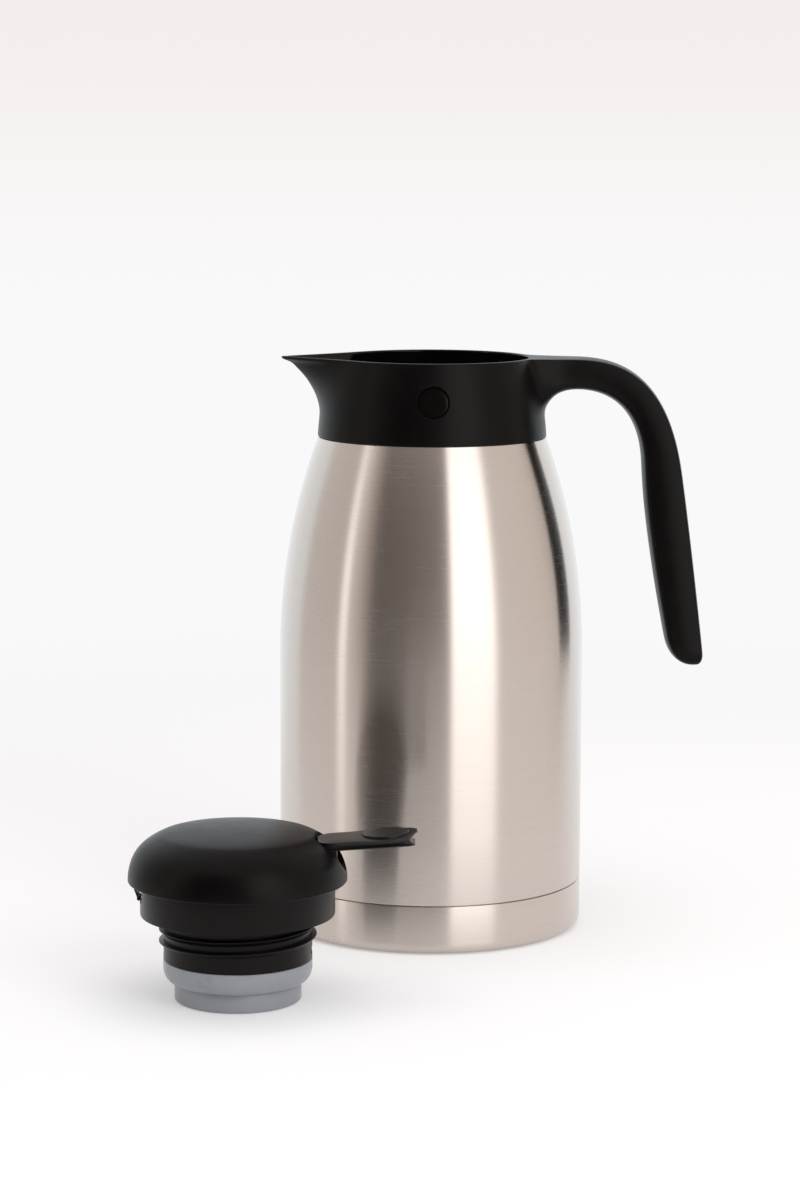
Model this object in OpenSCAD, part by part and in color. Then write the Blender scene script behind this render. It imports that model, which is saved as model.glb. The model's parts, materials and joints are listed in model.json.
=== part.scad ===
// Double-walled steel serving carafe with a pouring collar and an open-ended handle, and its
// screw-in stopper with a thumb lever, which stands on the table beside it.
// Millimetres, +Z up. The origin is the centre of the carafe's base, the spout points to -X and
// the handle to +X.

/* [Steel body] */
// Outside diameter of the straight part of the body
body_d = 130; // [126:0.5:133]
// Diameter of the flat that the carafe stands on
foot_d = 122; // [116:0.5:124]
// Height of the seam between the base cup and the body
seam_z = 21; // [18:0.5:24]
// Height at which the straight wall starts to curve in
shoulder_z = 119; // [112:0.5:126]
// Height at which the collar meets the steel
collar_z = 211.5; // [209:0.5:213]
// Diameter of the steel where the collar meets it
collar_d = 97.2; // [96:0.2:99]
// Thickness of every steel wall
steel_t = 0.8; // [0.6:0.1:1]
// Gap between the two walls of the body
vacuum_gap = 5.2; // [4:0.2:6]

/* [Collar and spout] */
// Height of the rim
rim_z = 245.3; // [244:0.1:246.5]
// Outside diameter of the rim, apart from the spout
rim_d = 86; // [85.5:0.1:87]
// Inside diameter of the mouth
mouth_d = 82; // [81:0.2:82.4]
// Distance from the axis to the tip of the spout
spout_reach = 64; // [60:0.5:67]
// Angle each side of the spout over which the rim flows into it
spout_spread = 50; // [42:1:58]
// Diameter of the round recess in each side of the collar
side_recess_d = 13.6; // [12:0.2:15]

/* [Handle] */
// Width of the handle across the hand
handle_w = 22; // [19:0.5:24]
// Wall thickness of the hollow handle
handle_wall = 2.4; // [2:0.1:3]

/* [Stopper] */
// Place of the stopper's axis on the table, along X
stopper_x = -77.3; // [-110:0.1:-70]
// Place of the stopper's axis on the table, along Y
stopper_y = -131.8; // [-170:0.1:-125]
// Diameter of the domed cover
dome_d = 86.8; // [86:0.1:88]
// Diameter of the skirt that hangs into the mouth
skirt_d = 77.2; // [76:0.1:78]
// Diameter of the threaded stem of the stopper
core_d = 59; // [58.6:0.1:59.4]
// Diameter over the thread
thread_d = 62.6; // [62:0.1:63]
// Rise of the thread in one turn
thread_pitch = 4.8; // [4.6:0.1:5]
// Diameter of the ring that the stopper stands on
seal_foot_d = 50.4; // [49:0.2:51]

/* [Lever and valve] */
// Distance from the stopper's axis to the lever's pin
pin_x = 32; // [31:0.2:33]
// Height of the lever's pin above the table
pin_z = 57; // [56.6:0.1:57.4]
// Angle by which the lever's outer end is raised at rest
lever_tilt = 4; // [3:0.5:5]
// Width of the lever where it enters the cover
lever_w = 19.4; // [17:0.2:20]
// Diameter of the lever's round end
lever_end_d = 24.6; // [22:0.2:26]
// Diameter of the thumb pad
pad_d = 18.4; // [16:0.2:19]
// Diameter of the lever's pin
pin_d = 3; // [2.6:0.1:3.2]

/* [Hidden] */
$fn = 96;
eps = 0.01;

// Steel body
body_r = body_d / 2;
foot_r = foot_d / 2;
collar_r = collar_d / 2;
seam_gap = 0.3;
shoulder_steps = 14;
// The shoulder is one arc that leaves the straight wall without a corner
shoulder_h = collar_z - shoulder_z;
shoulder_in = body_r - collar_r;
shoulder_R = (shoulder_h * shoulder_h + shoulder_in * shoulder_in) / (2 * shoulder_in);
ledge_r = collar_r - 2.4;
neck_r = 36.4;
lip_z = collar_z + 14.5;
neck_bore_r = 33.8;
vessel_r = body_r - steel_t - vacuum_gap;
vessel_z = 13;
vessel_corner = 13;
vessel_bottom_z = 28;
weld_gap = 0.05;
seat_r = 29.9;
seat_z = 210.3;
seat_h = 3.7;
waist_r = 29.05;

// Collar, insert and spout
rim_r = rim_d / 2;
mouth_r = mouth_d / 2;
collar_foot_r = collar_r + 0.3;
collar_base_z = collar_z + 0.1;
spout_z = 222;
insert_floor_z = 230.5;
insert_shelf_z = 228;
insert_bore_r = 31.8;
insert_r = 33.3;
insert_tip_r = 30.1;
side_plug_z = 229.6;

// Handle: its outer and inner outlines, as curves of four points each, in the plane y = 0
root_x = collar_r + 0.55;
handle_top = [[root_x, rim_z], [root_x + 4, rim_z], [58, rim_z + 0.3], [62, rim_z + 0.4]];
handle_bend = [[62, rim_z + 0.4], [83, rim_z + 0.6], [99.8, 235.4], [106.2, 200.5]];
handle_back = [[106.2, 200.5], [110.4, 173], [114.4, 140], [116.9, 118.6]];
handle_heel = [[116.9, 118.6], [117.1, 115.9], [116.2, 113.7], [113.6, 113.6]];
grip_top = [[root_x, 225.7], [50.5, 229.5], [54.5, 231.6], [60.3, 231.7]];
grip_bend = [[60.3, 231.7], [79.9, 231.7], [88.9, 218.8], [89.5, 199.6]];
grip_back = [[89.5, 199.6], [90.1, 179], [96.3, 144.7], [100.2, 125.2]];
grip_heel = [[100.2, 125.2], [101.4, 119], [105, 113.7], [111.4, 113.6]];
handle_split = 125;
handle_square = 3;

// Stopper, from the table up, and how far it is raised when it is screwed into the mouth
seated_rise = 197.4;
thread_start = 140;
thread_low_z = 22.67;
thread_turns = 1.5;
seal_r = core_d / 2 + 0.1;
seal_top_z = 16.6;
core_r = core_d / 2;
core_bore_r = 27.3;
web_z = 34.4;
skirt_r = skirt_d / 2;
skirt_wall = 2;
dome_z = 48;
dome_r = dome_d / 2;
dome_wall = 2.2;
dome_crown_z = 69;
dome_flat_r = 30;
dome_flat_z = 66.4;
dome_side_z = 50.4;
notch_w = lever_w + 1.4;
notch_x = 30.4;
notch_z = 62;
window_w = 20;
window_z = [39.8, 46.9];
hook_w = 8.4;
hook_z = [18.7, 21.1];
cover_z = 47.6;
cover_t = 2.2;
guide_z = 30;

// Valve
stem_r = 2.6;
stem_bore_r = 2.68;
carrier_r = 21.5;
carrier_bore_r = 20;
valve_seat_r = 14.5;
valve_seat_z = 3.2;
disc_r = 17.5;
disc_z = 4.9;
hub_z = 11;
boss_z = pin_z - 1.5;
boss_r = 2;
head_z = boss_z + boss_r + 0.1;
spring_r = 4.2;
spring_wire = 0.9;
spring_turns = 5;

function bezier(p, t) = pow(1 - t, 3) * p[0] + 3 * pow(1 - t, 2) * t * p[1]
    + 3 * (1 - t) * t * t * p[2] + pow(t, 3) * p[3];
// Points along a chain of curves, with each shared end given once
function trace(curves, steps) = concat([curves[0][0]],
    [for (c = [0:len(curves) - 1]) for (i = [1:steps[c]]) bezier(curves[c], i / steps[c])]);
function shoulder_at(z) = body_r - shoulder_R
    + sqrt(pow(shoulder_R, 2) - pow(max(0, z - shoulder_z), 2));
function arc(r_mid, z_mid, a, b, from, to, steps) =
    [for (i = [0:steps]) let(t = from + (to - from) * i / steps)
        [r_mid + a * cos(t), z_mid + b * sin(t)]];
function reversed(v) = [for (i = [len(v) - 1:-1:0]) v[i]];
// One point of a rounded oblong section: d along its depth, w along its width
function oblong(half_d, half_w, t) =
    [half_d * sign(cos(t)) * pow(abs(cos(t)), 2 / handle_square),
     half_w * sign(sin(t)) * pow(abs(sin(t)), 2 / handle_square)];

module revolve(points) rotate_extrude() polygon(points);

module tube(r_out, r_in, z_low, z_high)
    translate([0, 0, z_low]) difference() {
        cylinder(h = z_high - z_low, r = r_out);
        translate([0, 0, -1]) cylinder(h = z_high - z_low + 2, r = r_in);
    }

// A closed skin over rings of points, each anticlockwise seen from the far end
module skin(rings) {
    n = len(rings[0]);
    m = len(rings);
    polyhedron(
        points = [for (ring = rings) each ring],
        faces = concat(
            [for (i = [0:m - 2]) for (k = [0:n - 1])
                let(a = i * n + k, b = i * n + (k + 1) % n, c = a + n, d = b + n)
                each [[a, d, b], [a, c, d]]],
            [[for (k = [0:n - 1]) k]],
            [[for (k = [n - 1:-1:0]) (m - 1) * n + k]]),
        convexity = 8);
}

// A screw ridge of trapezoid section that fades in and out over four steps at its ends
module screw_ridge(root_r, tip_r, root_half, tip_half, z_start, start_angle, turns) {
    steps = 30;
    total = round(steps * turns);
    skin([for (i = [0:total])
        let(turn = start_angle + 360 * i / steps,
            z = z_start + thread_pitch * i / steps,
            fade = min(1, 0.25 + min(i, total - i) * 0.19),
            tip = root_r + (tip_r - root_r) * fade,
            inner = min(root_r, tip), outer = max(root_r, tip),
            inner_half = root_r < tip_r ? root_half : tip_half,
            outer_half = root_r < tip_r ? tip_half : root_half)
        [for (p = [[inner, inner_half], [outer, outer_half], [outer, -outer_half],
                   [inner, -inner_half]])
            [p[0] * cos(turn), p[0] * sin(turn), z + p[1]]]]);
}

module at_stopper() translate([stopper_x, stopper_y, 0]) children();

// Steel body -------------------------------------------------------------------------------

module outer_shell() color("silver") {
    shoulder = [for (i = [0:shoulder_steps])
        let(z = shoulder_z + (shoulder_h - 0.3) * i / shoulder_steps) [shoulder_at(z), z]];
    revolve(concat([[body_r, seam_z]], shoulder,
        [[collar_r - 0.4, collar_z], [ledge_r + weld_gap, collar_z],
         [ledge_r + weld_gap, collar_z - steel_t]],
        [for (p = reversed(shoulder)) [p[0] - steel_t, min(p[1], collar_z - steel_t - 0.1)]],
        [[body_r - steel_t, seam_z]]));
}

// The stepped ring that is welded into the shell's mouth and holds the collar
module shell_neck() color("silver") revolve([
    [ledge_r, collar_z - steel_t], [ledge_r, collar_z + 3], [ledge_r - 2.2, collar_z + 5.3],
    [neck_r, collar_z + 5.7], [neck_r, lip_z], [neck_bore_r + steel_t + weld_gap, lip_z],
    [neck_bore_r + steel_t + weld_gap, lip_z - steel_t], [neck_r - steel_t, lip_z - steel_t],
    [neck_r - steel_t, collar_z + 4.9], [ledge_r - 2.6, collar_z + 4.5],
    [ledge_r - steel_t, collar_z + 2.6], [ledge_r - steel_t, collar_z - steel_t]]);

module base_cup() color("silver") {
    corner = arc(foot_r, 4.5, body_r - foot_r, 4.5, -90, 0, 6);
    inner_corner = arc(foot_r, 4.5, body_r - foot_r - steel_t, 4.5 - steel_t, 0, -90, 6);
    difference() {
        revolve(concat([[0, 0]], corner, [[body_r, seam_z - seam_gap],
            [body_r - steel_t, seam_z - seam_gap]], inner_corner, [[0, steel_t]]));
        translate([0, 0, -1]) tube(52, 46, 0, 1.3);
    }
}

module vacuum_bottom() color("silver") {
    pan_r = body_r - steel_t - 0.1;
    revolve([[0, 6.4], [pan_r - 6, 6.4], [pan_r - 2, 7.6], [pan_r, 10], [pan_r, seam_z + 2.5],
        [pan_r - steel_t, seam_z + 2.5], [pan_r - steel_t, 10.4], [pan_r - 2.5, 8.4],
        [pan_r - 6.3, 7.2], [0, 7.2]]);
}

module vacuum_plug() color("gray") translate([0, 0, 4.6]) cylinder(h = 1.7, r = 4);

module getter() color("dimgray") translate([30, 0, 7.3]) cylinder(h = 2, r = 6);

// The inner wall's three parts are lists of points, each of which holds a radius, a height and
// the angle of the wall's inward normal. Each part starts where the one below it ends.
vessel_floor = concat(
    [for (t = [-90:15:0])
        [vessel_r - vessel_corner + vessel_corner * cos(t),
         vessel_z + vessel_corner + vessel_corner * sin(t), t + 180]],
    [[vessel_r, vessel_bottom_z, 180]]);
vessel_side = [for (z = [shoulder_z:12.5:194]) [shoulder_at(z) - steel_t - vacuum_gap, z,
    180 + asin(max(0, z - shoulder_z) / shoulder_R)]];
vessel_throat = [[46.6, 198.5, 210], [43, 202.4, 230], [38, 204.9, 250], [33, 206.1, 260],
    [waist_r + 1.1, 206.9, 240], [waist_r + steel_t, 207.6, 180],
    [seat_r + steel_t, seat_z, 180], [seat_r + steel_t, seat_z + seat_h, 180],
    [neck_bore_r + steel_t, 216.9, 165], [neck_bore_r + steel_t, lip_z, 180]];
// A part's first point, moved along the wall towards the next one by the gap at the weld
function after_weld(p, next) = p + (next - p) * weld_gap / norm([next[0] - p[0], next[1] - p[1]]);
// The points of a wall, up its outer face and down its inner one
function wall_section(wall) = concat([for (p = wall) [p[0], p[1]]],
    [for (p = reversed(wall)) [p[0] + steel_t * cos(p[2]), p[1] + steel_t * sin(p[2])]]);

module vessel_bottom() color("silver") revolve(concat([[0, vessel_z]],
    wall_section(vessel_floor), [[0, vessel_z + steel_t]]));

module inner_vessel() color("silver") revolve(wall_section(concat(
    [after_weld(vessel_floor[len(vessel_floor) - 1], vessel_side[0])], vessel_side)));

module vessel_neck() color("silver") let(top = vessel_side[len(vessel_side) - 1])
    revolve(wall_section(concat([after_weld(top, [vessel_throat[0][0], vessel_throat[0][1], top[2]])],
        vessel_throat)));

// Collar and handle ------------------------------------------------------------------------

// Radius of the collar at height z, away from the spout
function collar_at(z) = let(t = (z - collar_base_z) / (rim_z - collar_base_z))
    collar_foot_r - 2.2 * t - (collar_foot_r - 2.2 - rim_r) * pow(t, 2.2);
// How far the spout stands out at height z
function spout_at(z) = 48 + (spout_reach - 48) * pow(max(0, z - spout_z) / (rim_z - spout_z), 2.1);
// Share of the spout's reach at an angle from its middle, rounded at the tip
function spout_share(t) = let(u = abs(t) / spout_spread)
    u >= 1 ? 0 : pow(1 - (sqrt(u * u + 0.0016) - 0.04), 3);

// Directions round the collar, close together at the spout
collar_half = 30;
collar_turns = [for (k = [-collar_half:collar_half - 1])
    let(s = k / collar_half) 180 * sign(s) * pow(abs(s), 1.6)];

module collar_block() {
    heights = [collar_base_z, 214.5, 218.5, spout_z, 226, 230, 234, 237.5, 240.5, 243, rim_z];
    skin([for (z = heights) [for (t = collar_turns)
        let(base = collar_at(z), r = base + max(0, spout_at(z) - base) * spout_share(t))
        [r * cos(180 + t), r * sin(180 + t), z]]]);
}

module spout_channel() {
    low_z = 231.6;
    heights = [for (i = [0:6]) low_z + (rim_z + 1 - low_z) * i / 6];
    sides = 11;
    inner_r = mouth_r - 1.2;
    skin([for (z = heights)
        let(reach = mouth_r + (spout_reach - 2 - mouth_r) * pow((z - low_z + 0.6) / (rim_z - low_z), 0.9))
        concat(
            [for (k = [-sides:sides])
                let(s = k / sides, t = 44 * sign(s) * pow(abs(s), 1.5),
                    r = inner_r + (reach - inner_r) * spout_share(t))
                [r * cos(180 + t), r * sin(180 + t), z]],
            [[-mouth_r / 2, 12, z], [-mouth_r / 2, -12, z]])]);
}

// The flat pad that the handle's root is joined to
module handle_pad() {
    top = handle_top[0][1];
    low = grip_top[0][1];
    translate([mouth_r - 1, 0, (top + low) / 2]) rotate([90, 0, 90])
        linear_extrude(root_x - 0.05 - mouth_r + 1)
            polygon([for (t = [0:9:351]) let(p = oblong((top - low) / 2, handle_w / 2, t)) [p[1], p[0]]]);
}

module collar() color("#242424") difference() {
    union() {
        collar_block();
        handle_pad();
    }
    translate([0, 0, insert_shelf_z - 0.1]) cylinder(h = 40, r = mouth_r);
    translate([0, 0, 200]) cylinder(h = 40, r = neck_r + 0.4);
    translate([0, 0, 200]) cylinder(h = collar_z + 6.2 - 200, r = ledge_r + 0.25);
    spout_channel();
    for (side = [-1, 1]) translate([0, side * 43.4, side_plug_z]) rotate([-side * 90, 0, 0]) {
        cylinder(h = 8, r = side_recess_d / 2);
        translate([0, 0, 2]) cylinder(h = 3, r1 = side_recess_d / 2, r2 = side_recess_d / 2 + 2.2);
    }
}

module side_plug(side) color("black")
    translate([0, side * 43.45, side_plug_z]) rotate([-side * 90, 0, 0])
        revolve([[0, 0], [side_recess_d / 2 - 0.15, 0], [side_recess_d / 2 - 0.15, 1.2],
            [side_recess_d / 2 - 0.6, 1.6], [0, 1.8]]);

module neck_insert() color("#181818") {
    revolve([[insert_bore_r, 217.4], [insert_r, 217.4], [insert_r, insert_shelf_z],
        [mouth_r - 0.2, insert_shelf_z], [mouth_r - 0.2, insert_floor_z + 0.8],
        [insert_bore_r + 1.2, insert_floor_z], [insert_bore_r, insert_floor_z - 1.2]]);
    // The ridge lies half a pitch below the seated stopper's own
    start = 270;
    screw_ridge(insert_bore_r + 0.7, insert_tip_r, 1.2, 0.55,
        seated_rise + thread_low_z + thread_pitch * ((start - thread_start) / 360 - 0.5), start, 1.6);
}

module neck_gasket() color("lightgray")
    tube(neck_r, insert_r + 0.15, lip_z + 0.05, insert_shelf_z - 0.05);

handle_steps = [2, 9, 9, 6];
handle_outer = trace([handle_top, handle_bend, handle_back, handle_heel], handle_steps);
handle_inner = trace([grip_top, grip_bend, grip_back, grip_heel], handle_steps);
handle_rings = len(handle_outer);

// A point of an outline at ring i, or halfway between two rings
function at_ring(v, i) = (v[floor(i)] + v[ceil(i)]) / 2;
// The handle's section at ring i, in its own plane: [middle, direction outward, half depth, half
// width, depth of the chord where the cover meets the channel]
function handle_section(i) =
    let(o = at_ring(handle_outer, i), n = at_ring(handle_inner, i), half_d = norm(o - n) / 2,
        to_tip = min(1, (handle_rings - 1 - i) / handle_steps[3]),
        half_w = handle_w / 2 * (0.45 + 0.55 * sqrt(1 - pow(1 - to_tip, 2))))
    [(o + n) / 2, (o - n) / norm(o - n), half_d, half_w, oblong(half_d, half_w, handle_split)[0]];
// A point of a section, at depth d and width w, in the handle's place
function handle_place(s, d, w) = [s[0][0] + s[1][0] * d, -w, s[0][1] + s[1][1] * d];

module handle() color("#242424") difference() {
    skin([for (i = [0:handle_rings - 1]) let(s = handle_section(i))
        [for (k = [-6:6]) let(p = oblong(s[2], s[3], handle_split * k / 6))
            handle_place(s, p[0], p[1])]]);
    // The hollow of the channel, open towards the cover, with its rings between the channel's own
    skin([for (i = [2.5:handle_rings - handle_steps[3] - 1.5]) let(s = handle_section(i), last = 105)
        concat(
            [handle_place(s, s[4] - 1, oblong(s[2] - handle_wall, s[3] - handle_wall, -last)[1])],
            [for (k = [-4:4]) let(p = oblong(s[2] - handle_wall, s[3] - handle_wall, last * k / 4))
                handle_place(s, p[0], p[1])],
            [handle_place(s, s[4] - 1, oblong(s[2] - handle_wall, s[3] - handle_wall, last)[1])])]);
}

module handle_cover() color("#1f1f1f")
    skin([for (i = [1:handle_rings - 2]) let(s = handle_section(i), from = handle_split + 0.6)
        [for (k = [0:6]) let(p = oblong(s[2], s[3], from + (360 - 2 * from) * k / 6))
            handle_place(s, min(s[4] - 0.05, p[0]), p[1])]]);

// Stopper ----------------------------------------------------------------------------------

module stopper_body() color("#242424") at_stopper() {
    difference() {
        union() {
            tube(core_r, core_bore_r, seal_top_z + 0.05, web_z + 1);
            tube(skirt_r, core_bore_r, web_z, web_z + skirt_wall);
            tube(skirt_r, skirt_r - skirt_wall, web_z, dome_z + 1.5);
            tube(dome_r - dome_wall - 0.2, skirt_r - skirt_wall, dome_z, dome_z + 1.5);
        }
        translate([-skirt_r - 4, -window_w / 2, window_z[0]])
            cube([12, window_w, window_z[1] - window_z[0]]);
        translate([-core_r - 4, -hook_w / 2 - 0.3, hook_z[0] - 0.3])
            cube([2 * core_r + 8, hook_w + 0.6, hook_z[1] - hook_z[0] + 0.6]);
    }
    screw_ridge(core_r - 0.7, thread_d / 2, 1.4, 0.6, thread_low_z, thread_start, thread_turns);
}

function dome_profile(r_side, drop) = concat(
    [for (i = [0:6]) let(r = dome_flat_r * i / 6)
        [r, dome_crown_z - drop - (dome_crown_z - dome_flat_z) * pow(i / 6, 2)]],
    [for (t = [75:-15:0])
        [dome_flat_r + (r_side - dome_flat_r) * cos(t),
         dome_side_z + (dome_flat_z - drop - dome_side_z) * sin(t)]],
    [[r_side, dome_z]]);

module dome_cover() color("#202020") at_stopper() difference() {
    revolve(concat(dome_profile(dome_r, 0), reversed(dome_profile(dome_r - dome_wall, dome_wall))));
    // The lever's notch: a U seen from outside, with rounded inner corners seen from above
    intersection() {
        translate([notch_x, 0, notch_z]) rotate([0, 90, 0]) union() {
            cylinder(h = 20, r = notch_w / 2);
            translate([-15, -notch_w / 2, 0]) cube([15, notch_w, 20]);
        }
        union() {
            translate([notch_x + 5, -notch_w / 2, 40]) cube([20, notch_w, 40]);
            translate([notch_x, 5 - notch_w / 2, 40]) cube([20, notch_w - 10, 40]);
            for (side = [-1, 1]) translate([notch_x + 5, side * (notch_w / 2 - 5), 40])
                cylinder(h = 40, r = 5);
        }
    }
}

module pin_post(side) translate([pin_x, side * (notch_w / 2 + 2.6), 0]) rotate([90, 0, 0])
    translate([0, 0, -1.2]) linear_extrude(2.4) difference() {
        union() {
            translate([0, pin_z]) circle(r = pin_d / 2 + 1.4);
            translate([-pin_d / 2 - 1.4, cover_z + cover_t - 0.2])
                square([pin_d + 2.8, pin_z - cover_z - cover_t + 0.2]);
        }
        translate([0, pin_z]) circle(r = pin_d / 2 + 0.02);
    }

module chamber_cover() color("#303030") at_stopper() {
    difference() {
        union() {
            translate([0, 0, cover_z]) cylinder(h = cover_t, r = skirt_r - skirt_wall - 0.2);
            translate([0, 0, guide_z]) cylinder(h = cover_z - guide_z + 1, r = 5);
            translate([0, 0, cover_z + 1]) cylinder(h = cover_t, r = 6.5);
        }
        translate([0, 0, guide_z - 1]) cylinder(h = 30, r = stem_bore_r);
        translate([0, 0, cover_z + cover_t - 0.6]) cylinder(h = 3, r = 4.6);
    }
    for (side = [-1, 1]) pin_post(side);
}

module stem_seal() color("lightgray") at_stopper()
    tube(4.5, stem_bore_r, cover_z + cover_t - 0.5, cover_z + cover_t + 0.9);

module gasket_carrier() color("#2c2c2c") at_stopper() {
    tube(carrier_r, carrier_bore_r, 1.5, 13.5);
    tube(carrier_r, valve_seat_r, 1.5, valve_seat_z);
    tube(core_bore_r - 0.2, carrier_bore_r, 13, 15);
    tube(core_bore_r - 0.2, 25, 14, 24);
    // Two hooks that snap into the windows of the stopper's wall
    for (side = [-1, 1]) translate([side * (core_bore_r + 0.2) - 0.9, -hook_w / 2, hook_z[0]])
        cube([1.8, hook_w, hook_z[1] - hook_z[0]]);
}

module stopper_gasket() color("#9aa3ad") at_stopper() {
    foot = seal_foot_d / 2;
    revolve(concat([[16, 0.2], [foot - 1, 0]], arc(foot - 0.8, 0.8, 0.8, 0.8, -60, 0, 3),
        [[foot, 7.3]],
        [for (t = [-80:20:0]) [foot + 0.2 + (seal_r - foot - 0.2) * cos(t), 13.4 + 6 * sin(t)]],
        [[seal_r, seal_top_z], [core_bore_r - 0.1, seal_top_z], [core_bore_r - 0.1, 12.9],
         [carrier_r + 0.1, 12.9], [carrier_r + 0.1, 1.4], [16, 1.4]]));
}

// Lever and valve --------------------------------------------------------------------------

lever_x = [0.3, 39.6];
lever_top = 7.75;
lever_plate = 1.4;
lever_deep = 3.5;
pad_x = lever_x[1] - lever_end_d / 2;

// Half the lever's width at distance x outward of its pin, drawn in by an inset
function lever_half(x, inset) =
    let(w = lever_w / 2, end_r = lever_end_d / 2, corner = 6, from_root = x - lever_x[0])
    max(0.01, x > pad_x ? sqrt(max(0, pow(end_r - inset, 2) - pow(x - pad_x, 2)))
    : from_root < corner
        ? w - corner + sqrt(max(0, pow(corner, 2) - pow(corner - from_root, 2))) - inset
    : x < 12 ? w - inset
    : w + (end_r - w) * (1 - cos(180 * (x - 12) / (pad_x - 12))) / 2 - inset);

module lever_outline(inset) {
    start = lever_x[0] + inset;
    stop = lever_x[1] - inset;
    root = [for (t = [0:15:75]) start + 6 * (1 - cos(t))];
    middle = [for (i = [0:7]) 6.5 + (pad_x - 6.5) * i / 7];
    tip = [for (t = [10:10:80]) pad_x + (stop - pad_x) * sin(t)];
    xs = concat(root, middle, tip);
    polygon(concat([for (x = xs) [x, lever_half(x, inset)]], [[stop, 0]],
        [for (x = reversed(xs)) [x, -lever_half(x, inset)]]));
}

module lever() color("#262626") at_stopper() difference() {
    union() {
        translate([pin_x, 0, pin_z]) rotate([0, -lever_tilt, 0]) {
            difference() {
                union() {
                    translate([0, 0, lever_top - lever_plate]) linear_extrude(lever_plate) lever_outline(0);
                    translate([0, 0, lever_deep]) linear_extrude(lever_top - lever_plate - lever_deep + eps)
                        lever_outline(0.9);
                    translate([-2.6, -lever_w / 2 + 1.2, -1]) cube([10, lever_w - 2.4, lever_top - 1]);
                }
                translate([9, 0, lever_deep - 1]) linear_extrude(3.2)
                    intersection() {
                        translate([-9, 0]) lever_outline(2.6);
                        translate([0, -20]) square([40, 40]);
                    }
                translate([pad_x, 0, lever_top - 0.7]) cylinder(h = 3, r = pad_d / 2 + 0.3);
            }
        }
        translate([pin_x, 0, pin_z]) rotate([90, 0, 0]) cylinder(h = lever_w - 0.4, r = 3.2, center = true);
        rotate([90, 0, 0]) linear_extrude(13.2, center = true)
            polygon([[pin_x + 1, pin_z + 3], [20, pin_z + 0.5], [8, boss_z + 1], [0, boss_z + 1],
                [0, boss_z - 1.6], [20, boss_z - 2], [pin_x, pin_z - 3]]);
        translate([0, 0, boss_z]) rotate([90, 0, 0]) cylinder(h = 13.2, r = boss_r, center = true);
    }
    translate([-6, -3.4, boss_z - 6]) cube([14, 6.8, 14]);
    translate([pin_x, 0, pin_z]) rotate([90, 0, 0]) cylinder(h = 40, r = pin_d / 2 + 0.05, center = true);
}

module thumb_pad() color("#343434") at_stopper()
    translate([pin_x, 0, pin_z]) rotate([0, -lever_tilt, 0]) translate([pad_x, 0, lever_top - 0.65])
        revolve([[0, 0], [pad_d / 2, 0], [pad_d / 2, 1.1], [pad_d / 2 - 0.5, 1.45],
            [pad_d / 4, 1.6], [0, 1.65]]);

module lever_pin() color("silver") at_stopper()
    translate([pin_x, 0, pin_z]) rotate([90, 0, 0]) cylinder(h = 26.6, r = pin_d / 2, center = true);

module valve_stem() color("#3a3a3a") at_stopper() revolve([[0, 8], [stem_r, 8], [stem_r, head_z],
    [6, head_z], [6, head_z + 1.4], [5.2, head_z + 1.9], [0, head_z + 2.1]]);

module valve_disc() color("#3a3a3a") at_stopper() revolve([[0, disc_z], [disc_r, disc_z],
    [disc_r, disc_z + 1.8], [disc_r - 0.7, disc_z + 2.5], [5, disc_z + 2.5], [5, hub_z],
    [stem_r + 0.03, hub_z], [stem_r + 0.03, 7.95], [0, 7.95]]);

module valve_seal() color("#c9ccd0") at_stopper() tube(disc_r, 12.5, valve_seat_z + 0.1, disc_z - 0.02);

module valve_spring() color("silver") at_stopper() {
    steps = 12;
    low = hub_z + 0.05 + spring_wire / 2;
    high = guide_z - 0.05 - spring_wire / 2;
    total = steps * spring_turns;
    skin([for (i = [0:total]) let(turn = 360 * i / steps, z = low + (high - low) * i / total)
        [for (k = [0:5]) let(r = spring_r + spring_wire / 2 * sin(60 * k))
            [r * cos(turn), r * sin(turn), z + spring_wire / 2 * cos(60 * k)]]]);
}

outer_shell();
shell_neck();
base_cup();
vessel_bottom();
inner_vessel();
vessel_neck();
vacuum_bottom();
vacuum_plug();
getter();
collar();
neck_insert();
neck_gasket();
side_plug(-1);  // side_plug_front
side_plug(1);  // side_plug_back
handle();
handle_cover();
stopper_body();
dome_cover();
chamber_cover();
gasket_carrier();
stopper_gasket();
stem_seal();
lever();
thumb_pad();
lever_pin();
valve_stem();
valve_disc();
valve_seal();
valve_spring();
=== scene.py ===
# %% [markdown]
# # A steel carafe and its stopper
# This notebook dresses a finished CAD model of a vacuum carafe. The carafe has a brushed steel body, a
# black collar with a pouring spout and an open-ended handle. Its screw-in stopper stands on the table
# beside it and has a thumb lever. The CAD model fixes every size and every place. Blender adds the smooth
# moulded shapes, the finishes and the studio.
#
# Everything is in the CAD model's own frame: metres, Z up, the carafe's base centred on the origin, the
# spout towards -X and the handle towards +X. Shapes are written in millimetres and scaled once by `MM`.

import json
import math

import bmesh
import bpy
from mathutils import Matrix, Vector

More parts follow.
